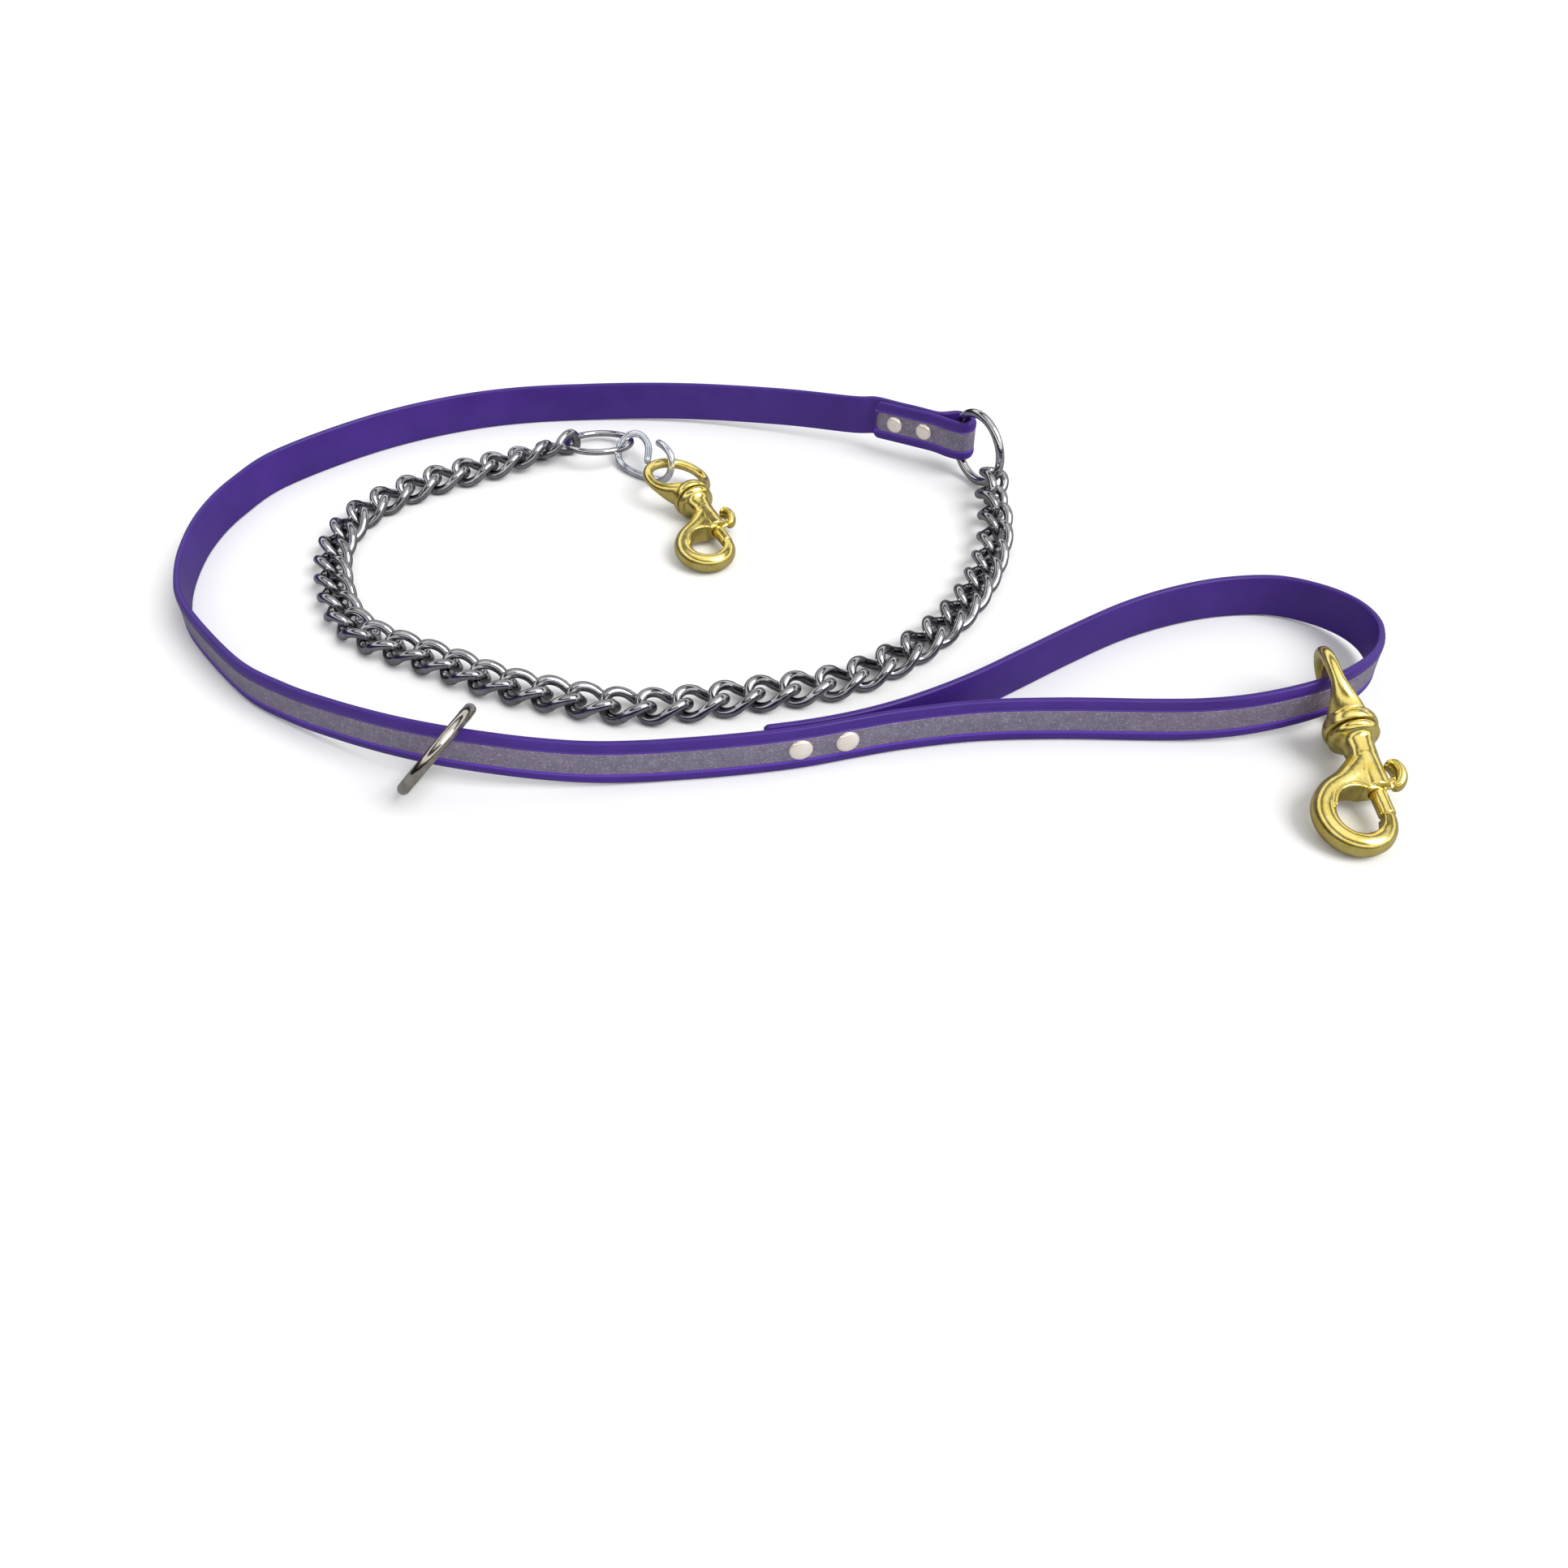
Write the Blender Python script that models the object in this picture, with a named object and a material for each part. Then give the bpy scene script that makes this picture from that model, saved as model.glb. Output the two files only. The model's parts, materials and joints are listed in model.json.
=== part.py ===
"""Training leash: a reflective webbing strap with a curb chain, three rings, an open wire hook and
two swivel bolt snaps, laid out flat on a table with the strap on its edge.

Layout sizes and places are in millimetres from a corner of the table, and `place` turns them into
the part's own metres. +Z is up, and the origin is the middle of the leash's footprint.
"""
import math

import bmesh
import bpy
from mathutils import Matrix, Vector

MM = 0.001
UP = Vector((0.0, 0.0, 1.0))
LAYOUT_CENTRE = Vector((-11.57, 481.21, 0.0))
GAP = 0.3                      # clearance between pieces that touch

# Strap
STRAP_WIDTH = 19.0
STRAP_THICKNESS = 2.6
STRIPE_WIDTH = 9.5
STRIPE_THICKNESS = 0.35
LAP = STRAP_THICKNESS + 0.4    # between the centrelines of two layers that lie together
LONGEST_STATION = 14.0
SHARPEST_STATION = math.radians(11.0)

# The ring fold, measured along the tab from its cut end and across it towards the main layer
TAB_START = Vector((44.6, 605.0, 7.4))
TAB_DIRECTION = Vector((0.855, -0.518, 0.0)).normalized()
FOLD_LIFT = 8.9                # height of the strap's lower edge where the ring holds it up
FOLD_ALONG = 44.0
FOLD_ACROSS = 3.3
FOLD_RADIUS = 4.6
POCKET_LENGTH = 5.2

# The strap's route from the fold, round the left, along the front and round the handle: the
# centreline in plan, and the height of the lower edge, lifted where hardware passes under it.
MAIN_ROUTE = (
    (33.2, 610.9, 6.6), (-2.1, 623.0, 4.4), (-51.6, 634.3, 1.5), (-101.6, 636.2, 0.0),
    (-150.1, 628.6, 0.0), (-195.2, 607.3, 0.0), (-234.7, 573.2, 0.0), (-248.9, 546.5, 0.0),
    (-254.9, 521.8, 0.0), (-255.0, 496.5, 0.0), (-250.4, 472.0, 0.0), (-240.0, 449.6, 0.0),
    (-210.1, 414.6, 0.0), (-186.8, 397.3, 1.2), (-165.3, 384.4, 3.8), (-144.1, 373.6, 6.3),
    (-125.1, 366.7, 7.3), (-107.4, 363.4, 6.5), (-88.0, 362.6, 4.0), (-68.0, 363.6, 1.4),
    (-46.2, 366.0, 0.0), (-26.0, 368.2, 0.0),
)
LAPPED_ROUTE = ((-6.5, 371.1, 0.0), (9.0, 374.2, 0.0), (24.9, 378.6, 0.0))
HANDLE_ROUTE = (
    (43.4, 383.4, 0.0), (71.3, 388.2, 0.0), (102.1, 389.6, 0.0), (132.6, 388.9, 0.0),
    (153.7, 388.3, 0.7), (171.7, 388.8, 2.4), (189.8, 391.4, 4.9), (206.1, 397.3, 6.2),
    (220.3, 408.9, 5.1), (229.0, 421.6, 3.8), (232.4, 435.6, 2.9), (228.6, 449.4, 2.0),
    (218.2, 460.6, 1.1), (202.3, 467.9, 0.4), (181.2, 467.3, 0.0), (159.2, 460.9, 0.0),
    (136.8, 450.2, 0.0), (114.6, 435.6, 0.0), (93.0, 420.1, 0.0), (73.0, 405.9, 0.0),
    (56.0, 395.6, 0.0), (40.0, 387.6, 0.0),
)

# Rivets: distance along the tab for the end pair, and places on the lapped front for the others
RIVET_SHANK_RADIUS = 1.4
RIVET_HOLE_RADIUS = 1.7
RIVET_CAP_RADIUS = 4.0
RIVET_CAP_HEIGHT = 1.5
END_RIVETS_ALONG = (11.0, 26.6)
HANDLE_RIVETS_X = (5.6, 22.9)

# Rings: mean radius, wire radius, centre and the two directions that span the ring's plane
END_RING = {"mean": 16.2, "wire": 2.0, "centre": Vector((90.5, 573.9, 18.6)),
            "first": Vector((0.53, -0.848, 0.0)), "second": UP}
FLOATING_RING = {"mean": 18.1, "wire": 2.25, "centre": Vector((-122.9, 362.8, 18.0)),
                 "first": Vector((0.346, 0.938, 0.0)), "second": Vector((0.5625, -0.2077, 0.8))}
CHAIN_END_RING = {"mean": 15.4, "wire": 1.5, "centre": Vector((-89.8, 599.7, 7.0)),
                  "first": Vector((1.0, 0.0, 0.0)), "second": Vector((0.0, 0.978, -0.21))}

# Chain of curb links: an oval of round wire, twisted along its length so that it lies flat
LINK_COUNT = 42
LINK_PITCH = 14.0
LINK_WIRE = 2.0                # radius
LINK_HALF_LENGTH = 9.3        # to the wire's centreline
LINK_HALF_WIDTH = 6.2
LINK_TWIST = math.radians(50.0)
LINK_TWIST_POWER = 0.8
LINK_SQUARENESS = 2.6
LINK_STATIONS = 14
LINK_SIDES = 6
CHAIN_LIFT = 5.1               # height of the chain's centreline where it lies on the table
CHAIN_ROUTE = (
    (98.1, 564.7, 9.8), (94.8, 551.1, 8.5), (95.2, 536.5, 7.6), (94.4, 522.9, 6.5),
    (91.3, 508.5, 5.5), (86.0, 491.8, CHAIN_LIFT), (75.1, 467.7, CHAIN_LIFT),
    (58.4, 444.7, CHAIN_LIFT), (38.8, 426.7, CHAIN_LIFT), (16.7, 415.0, CHAIN_LIFT),
    (-9.1, 409.5, CHAIN_LIFT), (-35.4, 403.6, CHAIN_LIFT), (-60.7, 401.7, CHAIN_LIFT),
    (-86.2, 408.0, CHAIN_LIFT), (-111.9, 416.5, CHAIN_LIFT), (-134.4, 428.8, CHAIN_LIFT),
    (-156.6, 439.4, CHAIN_LIFT), (-173.0, 449.8, CHAIN_LIFT), (-183.2, 463.6, CHAIN_LIFT),
    (-192.6, 487.8, CHAIN_LIFT), (-197.4, 512.0, CHAIN_LIFT), (-192.7, 537.3, CHAIN_LIFT),
    (-179.0, 554.8, CHAIN_LIFT), (-164.1, 567.8, CHAIN_LIFT), (-141.6, 579.7, CHAIN_LIFT),
    (-120.3, 591.2, 6.1), (-103.0, 600.0, 7.6), (-90.0, 606.0, 8.0),
)
# How far the links near each end roll about the chain's own line, by link number
LINK_ROLLS = {1: math.radians(-56.0), 2: math.radians(-38.0), 3: math.radians(-20.0),
              4: math.radians(-6.0), 40: math.radians(-6.0), 41: math.radians(-22.0),
              42: math.radians(-40.0)}

# Open hook of bent wire, from the free end that holds the snap to the one in the chain's ring
HOOK_WIRE = 1.6
HOOK_ROUTE = (
    (-59.5, 583.5, 16.0), (-56.0, 577.5, 17.0), (-53.0, 571.8, 16.2), (-52.6, 569.4, 12.2),
    (-54.2, 568.4, 7.2), (-58.0, 570.6, 3.3), (-64.0, 575.6, 1.8), (-71.1, 580.2, 1.7),
    (-77.4, 586.6, 1.8), (-80.3, 593.6, 2.6), (-79.1, 597.8, 7.4), (-74.4, 600.0, 11.2), (-69.2, 599.3, 11.2),
    (-65.4, 593.0, 8.9), (-65.2, 582.6, 6.2),
)

# Bolt snap, in its own millimetres: x to the barrel's side, y towards the eye, z out of the
# hook's plane, with the eye's centre at zero
EYE_MEAN = 14.75
EYE_WIRE = 2.25
EYE_SEAT = -12.3               # flat in the bottom of the eye, where the swivel's head turns
EYE_BASE_END = -20.4
STEM_RADIUS = 2.8
STEM_HOLE_RADIUS = 3.15
STEM_HEAD_RADIUS = 4.3
COLLAR_END = -23.6
NECK_RADIUS = 5.2
BARREL_RADIUS = 5.0
BARREL_X = -0.2
BARREL_TOP = -31.0
BARREL_END = -47.6
BORE_RADIUS = 2.95
BORE_END = -26.5
BOLT_RADIUS = 2.6
BOLT_TOP = -41.0
BOLT_TIP = -58.4
SLOT_WIDTH = 3.0
SLOT_TOP = -32.5
# Hook's centreline, each point with its half width in the hook's plane and out of it
HOOK_LINE = (
    (0.0, -33.0, 4.9, 4.9), (-4.0, -38.0, 5.6, 4.9), (-10.0, -42.6, 5.0, 4.8),
    (-16.6, -46.4, 4.6, 4.7), (-21.0, -51.6, 4.3, 4.6), (-22.4, -57.6, 4.3, 4.6),
    (-21.2, -63.4, 4.2, 4.6), (-17.4, -68.0, 4.1, 4.6), (-11.8, -69.8, 4.0, 4.5),
    (-6.4, -68.2, 3.9, 4.3), (-3.0, -64.6, 3.7, 4.1), (-1.6, -61.2, 3.5, 3.7),
    (-1.2, -58.8, 3.3, 3.4),
)
SNAPS = {
    "large": {"eye": Vector((205.2, 397.4, 16.2)), "heading": math.radians(-85.2),
              "slope": math.radians(9.3), "across": 1.0, "along": 1.0,
              "eye_turn": math.radians(-110.0)},
    "small": {"eye": Vector((-49.8, 560.6, 10.2)), "heading": math.radians(-61.5),
              "slope": math.radians(5.4), "across": 0.9, "along": 0.9,
              "eye_turn": math.radians(12.0)},
}

# Finishes: colour, metallic, roughness
FINISHES = {
    "webbing": ((0.060, 0.024, 0.240), 0.0, 0.35),
    "reflective": ((0.240, 0.200, 0.270), 0.0, 0.50),
    "nickel": ((0.760, 0.700, 0.640), 1.0, 0.15),
    "chrome": ((0.700, 0.710, 0.730), 1.0, 0.08),
    "zinc": ((0.560, 0.580, 0.610), 1.0, 0.28),
    "brass": ((0.830, 0.640, 0.200), 1.0, 0.18),
    "spring_steel": ((0.400, 0.400, 0.410), 1.0, 0.35),
}


# --- Shared tools ----------------------------------------------------------------------------

def clear_scene():
    """Remove whatever the file starts with."""
    for thing in list(bpy.data.objects):
        bpy.data.objects.remove(thing, do_unlink=True)


def finish(name):
    """Return the Principled material of that name, made on first use."""
    if name in bpy.data.materials:
        return bpy.data.materials[name]
    colour, metallic, roughness = FINISHES[name]
    made = bpy.data.materials.new(name)
    made.use_nodes = True
    shader = made.node_tree.nodes["Principled BSDF"]
    shader.inputs["Base Color"].default_value = (*colour, 1.0)
    shader.inputs["Metallic"].default_value = metallic
    shader.inputs["Roughness"].default_value = roughness
    made.diffuse_color = (*colour, 1.0)
    return made


def place(point):
    """Turn a layout point in millimetres into the part's frame in metres."""
    return (point - LAYOUT_CENTRE) * MM


def add_object(name, bm, finish_name, matrix):
    """Make an object from a bmesh that holds millimetres in the frame that `matrix` gives."""
    bmesh.ops.recalc_face_normals(bm, faces=bm.faces[:])
    bmesh.ops.scale(bm, vec=(MM, MM, MM), verts=bm.verts[:])
    mesh = bpy.data.meshes.new(name)
    bm.to_mesh(mesh)
    bm.free()
    mesh.shade_smooth()
    mesh.set_sharp_from_angle(angle=math.radians(40.0))
    made = bpy.data.objects.new(name, mesh)
    made.matrix_world = matrix
    mesh.materials.append(finish(finish_name))
    bpy.context.scene.collection.objects.link(made)
    return made


def at_layout(point):
    """Return the matrix of an unturned object whose origin is at a layout point."""
    return Matrix.Translation(place(point))


def catmull_rom(points, steps=24):
    """Return a dense smooth curve through the points."""
    ends = [points[0] * 2.0 - points[1]] + list(points) + [points[-1] * 2.0 - points[-2]]
    curve = []
    for before, start, end, after in zip(ends, ends[1:], ends[2:], ends[3:]):
        for step in range(steps):
            t = step / steps
            curve.append(0.5 * (start * 2.0 + (end - before) * t
                                + (before * 2.0 - start * 5.0 + end * 4.0 - after) * t * t
                                + (start * 3.0 - before - end * 3.0 + after) * t ** 3))
    curve.append(points[-1].copy())
    return curve


def stations(curve, longest, sharpest):
    """Thin a dense curve to stations no further apart than a length or a turn."""
    kept = [0]
    heading = (curve[1] - curve[0]).normalized()
    length = 0.0
    for index in range(1, len(curve) - 1):
        length += (curve[index] - curve[index - 1]).length
        ahead = (curve[index + 1] - curve[index]).normalized()
        if length >= longest or ahead.angle(heading) >= sharpest:
            kept.append(index)
            heading = ahead
            length = 0.0
    return [curve[index] for index in kept] + [curve[-1]]


def tangents(points, closed=False):
    """Return the unit direction of travel at each point."""
    last = len(points) - 1
    found = []
    for index in range(len(points)):
        before = points[index - 1] if closed or index else points[0]
        after = points[(index + 1) % len(points)] if closed or index < last else points[last]
        found.append((after - before).normalized())
    return found


def sweep(bm, frames, sections, closed=False):
    """Skin cross-sections along frames of (point, across, up), capped unless closed."""
    loops = []
    for (point, across, up), section in zip(frames, sections):
        loops.append([bm.verts.new(point + across * a + up * b) for a, b in section])
    pairs = list(zip(loops, loops[1:]))
    if closed:
        pairs.append((loops[-1], loops[0]))
    for first, second in pairs:
        count = len(first)
        for index in range(count):
            after = (index + 1) % count
            bm.faces.new((first[index], first[after], second[after], second[index]))
    if not closed:
        bm.faces.new(loops[0])
        bm.faces.new(loops[-1])


def oval(half_across, half_up, sides):
    """Return an oval cross-section."""
    turns = [2.0 * math.pi * (index + 0.5) / sides for index in range(sides)]
    return [(half_across * math.cos(turn), half_up * math.sin(turn)) for turn in turns]


def closed_wire(points, radius, sides):
    """Return a bmesh of round wire along a closed loop."""
    middle = sum(points, Vector()) / len(points)
    frames = []
    for point, tangent in zip(points, tangents(points, closed=True)):
        outward = point - middle
        outward = (outward - tangent * outward.dot(tangent)).normalized()
        frames.append((point, outward, tangent.cross(outward)))
    bm = bmesh.new()
    sweep(bm, frames, [oval(radius, radius, sides)] * len(points), closed=True)
    return bm


def open_wire(points, radius, sides):
    """Return a bmesh of round wire along an open route, its section carried without twist."""
    directions = tangents(points)
    side = directions[0].orthogonal().normalized()
    frames = []
    for point, tangent in zip(points, directions):
        side = (side - tangent * side.dot(tangent)).normalized()
        frames.append((point, side, tangent.cross(side)))
    bm = bmesh.new()
    sweep(bm, frames, [oval(radius, radius, sides)] * len(points))
    return bm


def turned(profile, sides, axis_x=0.0):
    """Return a bmesh turned about the snap's own y direction from (y, radius) pairs."""
    bm = bmesh.new()
    across, up = Vector((1.0, 0.0, 0.0)), Vector((0.0, 0.0, 1.0))
    frames = [(Vector((axis_x, y, 0.0)), across, up) for y, _ in profile]
    sweep(bm, frames, [oval(radius, radius, sides) for _, radius in profile])
    return bm


def boolean(target, tool, operation):
    """Join or cut the target with another object, and hide the tool."""
    tool.display_type = "WIRE"
    tool.hide_render = True
    tool.hide_viewport = True
    modifier = target.modifiers.new(operation.title(), "BOOLEAN")
    modifier.operation = operation
    modifier.solver = "EXACT"
    modifier.object = tool


# --- Strap, stripe and rivets ----------------------------------------------------------------

TAB_ACROSS = Vector((-TAB_DIRECTION.y, TAB_DIRECTION.x, 0.0))


def tab_point(along, across, lift):
    """Return a layout point by its distance along the tab and across it."""
    point = TAB_START + TAB_DIRECTION * along + TAB_ACROSS * across
    point.z = lift
    return point


def fold_route():
    """Return the tab, the turn round the ring and the lapped start of the main layer."""
    near, far = FOLD_ACROSS - FOLD_RADIUS, FOLD_ACROSS + FOLD_RADIUS
    pocket = FOLD_ALONG - POCKET_LENGTH
    lift = [TAB_START.z + (FOLD_LIFT - TAB_START.z) * share for share in (0.0, 0.3, 0.6, 0.85)]
    points = [tab_point(along, 0.0, height) for along, height in zip((0, 10, 20, 31.5), lift)]
    points.append(tab_point(pocket, near, FOLD_LIFT))
    for step in range(7):
        turn = math.pi * (step / 6.0 - 0.5)
        points.append(tab_point(FOLD_ALONG + FOLD_RADIUS * math.cos(turn),
                                FOLD_ACROSS + FOLD_RADIUS * math.sin(turn), FOLD_LIFT))
    points.append(tab_point(pocket, far, FOLD_LIFT))
    points += [tab_point(along, LAP, height)
               for along, height in zip((31.5, 20, 10, -2), reversed(lift))]
    return points


def side_of(before, after):
    """Return the left-hand side of the way from one point to another, level with the table."""
    return UP.cross(after - before).normalized()


def strap_route():
    """Return the strap's whole centreline as dense points from the tab to the handle's tail."""
    front = [Vector(point) for point in MAIN_ROUTE]
    lapped = [Vector(point) for point in LAPPED_ROUTE]
    handle = [Vector(point) for point in HANDLE_ROUTE]
    run = [front[-1]] + lapped + [handle[0]]
    tail = [point + side_of(before, after) * LAP
            for before, point, after in zip(run, run[1:], run[2:])]
    route = catmull_rom(fold_route() + front + lapped + handle + tail[::-1])
    for point in route:
        point.z = max(point.z, 0.0)
    return route


def ribbon(route, offset, half_thickness, low, high):
    """Return a bmesh of an upright band beside the route, `offset` out to its right."""
    section = [(offset - half_thickness, low), (offset + half_thickness, low),
               (offset + half_thickness, high), (offset - half_thickness, high)]
    frames = []
    for point, tangent in zip(route, tangents(route)):
        right = Vector((tangent.y, -tangent.x, 0.0)).normalized()
        frames.append((point, right, UP))
    bm = bmesh.new()
    sweep(bm, frames, [section] * len(frames))
    return bm


def nearest(route, x, y):
    """Return the route's nearest point in plan and the direction of travel there."""
    directions = tangents(route)
    found = min(range(len(route)), key=lambda i: (route[i].x - x) ** 2 + (route[i].y - y) ** 2)
    return route[found], directions[found]


def rivet_places(route):
    """Return each rivet's name, its middle between the two layers and its outward direction."""
    places = []
    for number, along in enumerate(END_RIVETS_ALONG, 1):
        front = tab_point(along, 0.0, 0.0)
        point, tangent = nearest(route[:len(route) // 4], front.x, front.y)
        outward = Vector((tangent.y, -tangent.x, 0.0)).normalized()
        places.append((f"end_rivet_{number}", point - outward * LAP / 2.0, outward))
    for number, x in enumerate(HANDLE_RIVETS_X, 1):
        row = [p for p in route[len(route) // 4:len(route) * 3 // 4] if p.y < 385.0]
        point = min(row, key=lambda p: abs(p.x - x))
        _, tangent = nearest(route, point.x, point.y)
        outward = Vector((tangent.y, -tangent.x, 0.0)).normalized()
        places.append((f"handle_rivet_{number}", point - outward * LAP / 2.0, outward))
    return places


def add_strap():
    """Make the strap, its stripe, and the rivets with their holes."""
    route = strap_route()
    path = [point - LAYOUT_CENTRE
            for point in stations(route, LONGEST_STATION, SHARPEST_STATION)]
    stripe_offset = (STRAP_THICKNESS + STRIPE_THICKNESS) / 2.0 + GAP
    stripe_low = (STRAP_WIDTH - STRIPE_WIDTH) / 2.0
    strap = add_object("strap", ribbon(path, 0.0, STRAP_THICKNESS / 2.0, 0.0, STRAP_WIDTH),
                       "webbing", at_layout(LAYOUT_CENTRE))
    stripe = add_object("reflective_stripe",
                        ribbon(path, stripe_offset, STRIPE_THICKNESS / 2.0, stripe_low,
                               stripe_low + STRIPE_WIDTH),
                        "reflective", at_layout(LAYOUT_CENTRE))
    half_stack = LAP / 2.0 + stripe_offset + STRIPE_THICKNESS / 2.0 + 1.6 * GAP
    for name, middle, outward in rivet_places(route):
        centre = middle + UP * STRAP_WIDTH / 2.0
        turn = outward.to_track_quat("Y", "Z").to_matrix().to_4x4()
        add_rivet(name, half_stack, at_layout(centre) @ turn)
        cutter = add_object(name + "_hole",
                            turned([(-9.0, RIVET_HOLE_RADIUS), (9.0, RIVET_HOLE_RADIUS)], 12),
                            "nickel", at_layout(centre) @ turn)
        boolean(strap, cutter, "DIFFERENCE")
        boolean(stripe, cutter, "DIFFERENCE")


def add_rivet(name, half_stack, matrix):
    """Make a double-cap rivet whose domed caps clear the stack by the usual gap."""
    dome = [(0.0, 1.0), (0.5, 0.92), (1.0, 0.45)]
    cap = [(half_stack + RIVET_CAP_HEIGHT * height, RIVET_CAP_RADIUS * share)
           for height, share in dome]
    foot = (half_stack, RIVET_SHANK_RADIUS)
    profile = [foot] + cap
    mirrored = [(-y, radius) for y, radius in reversed(profile)]
    add_object(name, turned(mirrored + profile, 10), "nickel", matrix)


# --- Rings and chain -------------------------------------------------------------------------

def ring_points(ring, count):
    """Return points round a ring, relative to its centre."""
    first = ring["first"].normalized()
    second = ring["second"] - first * ring["second"].dot(first)
    second.normalize()
    turns = [2.0 * math.pi * index / count for index in range(count)]
    return [(first * math.cos(turn) + second * math.sin(turn)) * ring["mean"] for turn in turns]


def add_ring(name, ring, finish_name):
    """Make a welded ring of round wire with its origin at its centre."""
    bm = closed_wire(ring_points(ring, 24), ring["wire"], 8)
    add_object(name, bm, finish_name, at_layout(ring["centre"]))


def link_points():
    """Return one curb link's centreline, lengthwise along x and centred on zero."""
    points = []
    for index in range(LINK_STATIONS):
        turn = 2.0 * math.pi * (index + 0.5) / LINK_STATIONS
        power = 2.0 / LINK_SQUARENESS
        x = LINK_HALF_LENGTH * math.copysign(abs(math.cos(turn)) ** power, math.cos(turn))
        width = LINK_HALF_WIDTH * math.copysign(abs(math.sin(turn)) ** power, math.sin(turn))
        share = (abs(x) / LINK_HALF_LENGTH) ** LINK_TWIST_POWER
        twist = -LINK_TWIST * math.copysign(share, x)
        points.append(Vector((x, width * math.cos(twist), width * math.sin(twist))))
    return points


def pivots():
    """Return the points where one link bears on the next, a pitch apart along the route."""
    curve = catmull_rom([Vector(point) for point in CHAIN_ROUTE], steps=40)
    found = [curve[0]]
    index = 0
    while len(found) <= LINK_COUNT:
        while (curve[index + 1] - found[-1]).length < LINK_PITCH:
            index += 1
        # the pitch ends on the way from this point of the curve to the next
        step = curve[index + 1] - curve[index]
        back = curve[index] - found[-1]
        share_a, share_b = step.dot(step), 2.0 * step.dot(back)
        share_c = back.dot(back) - LINK_PITCH ** 2
        root = math.sqrt(share_b ** 2 - 4.0 * share_a * share_c)
        found.append(curve[index] + step * ((root - share_b) / (2.0 * share_a)))
    return found


def link_matrix(start, end, roll):
    """Return the matrix of a link hung between two pivots, with its origin on the first."""
    along = (end - start).normalized()
    up = (UP - along * UP.dot(along)).normalized()
    up = Matrix.Rotation(roll, 3, along) @ up
    turn = Matrix((along, up.cross(along), up)).transposed().to_4x4()
    return at_layout(start) @ turn


def add_chain():
    """Make the links, which share one mesh."""
    bm = closed_wire(link_points(), LINK_WIRE, LINK_SIDES)
    bmesh.ops.translate(bm, vec=(LINK_PITCH / 2.0, 0.0, 0.0), verts=bm.verts[:])
    bearing = pivots()
    first = add_object("chain_link_01", bm, "chrome",
                       link_matrix(bearing[0], bearing[1], LINK_ROLLS[1]))
    for number in range(2, LINK_COUNT + 1):
        link = bpy.data.objects.new(f"chain_link_{number:02d}", first.data)
        link.matrix_world = link_matrix(bearing[number - 1], bearing[number],
                                        LINK_ROLLS.get(number, 0.0))
        bpy.context.scene.collection.objects.link(link)


def add_open_hook():
    """Make the bent wire hook between the chain's ring and the small snap."""
    start = Vector(HOOK_ROUTE[0])
    curve = catmull_rom([Vector(point) - start for point in HOOK_ROUTE])
    path = stations(curve, 3.2, math.radians(20.0))
    add_object("s_hook", open_wire(path, HOOK_WIRE, 8), "zinc", at_layout(start))


# --- Bolt snaps ------------------------------------------------------------------------------

def snap_matrix(snap):
    """Return a snap's frame: its eye's centre, with y back along the swivel's axis."""
    heading, slope = snap["heading"], snap["slope"]
    along = Vector((math.cos(heading) * math.cos(slope), math.sin(heading) * math.cos(slope),
                    -math.sin(slope)))
    back = -along
    right = back.cross(UP).normalized()
    turn = Matrix((right, back, right.cross(back))).transposed().to_4x4()
    return at_layout(snap["eye"]) @ turn @ Matrix.Diagonal((snap["across"], snap["along"],
                                                            snap["across"], 1.0))


def settled(matrix, bm):
    """Give a snap's bmesh its own size, and return its matrix without the scale."""
    where, turn, size = matrix.decompose()
    bmesh.ops.scale(bm, vec=size, verts=bm.verts[:])
    return Matrix.Translation(where) @ turn.to_matrix().to_4x4()


def add_snap_piece(name, bm, finish_name, matrix):
    """Make one piece of a snap from a bmesh in the snap's own millimetres."""
    return add_object(name, bm, finish_name, settled(matrix, bm))


def add_snap_eye(prefix, matrix, eye_turn):
    """Make the eye: a ring on a bell-shaped base, bored for the swivel's stem."""
    turn = Matrix.Rotation(eye_turn, 4, "Y")
    count = 24
    points = [Vector((math.cos(2.0 * math.pi * i / count), math.sin(2.0 * math.pi * i / count),
                      0.0)) * EYE_MEAN for i in range(count)]
    ring = closed_wire(points, EYE_WIRE, 8)
    bmesh.ops.rotate(ring, cent=(0.0, 0.0, 0.0), matrix=turn.to_3x3(), verts=ring.verts[:])
    eye = add_snap_piece(prefix + "_eye", ring, "brass", matrix)
    bell = [(EYE_SEAT + 0.6, 3.4), (-14.2, 7.0), (-16.0, 9.2), (-18.6, 9.4), (EYE_BASE_END, 8.2)]
    base = add_snap_piece(prefix + "_eye_base", turned(bell, 16), "brass", matrix)
    boolean(eye, base, "UNION")
    bore = [(EYE_BASE_END - 2.0, STEM_HOLE_RADIUS), (EYE_SEAT, STEM_HOLE_RADIUS),
            (EYE_SEAT, STEM_HEAD_RADIUS + 0.4), (EYE_SEAT + 4.5, STEM_HEAD_RADIUS + 0.4)]
    cutter = add_snap_piece(prefix + "_eye_bore", turned(bore, 12), "brass", matrix)
    boolean(eye, cutter, "DIFFERENCE")


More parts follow.
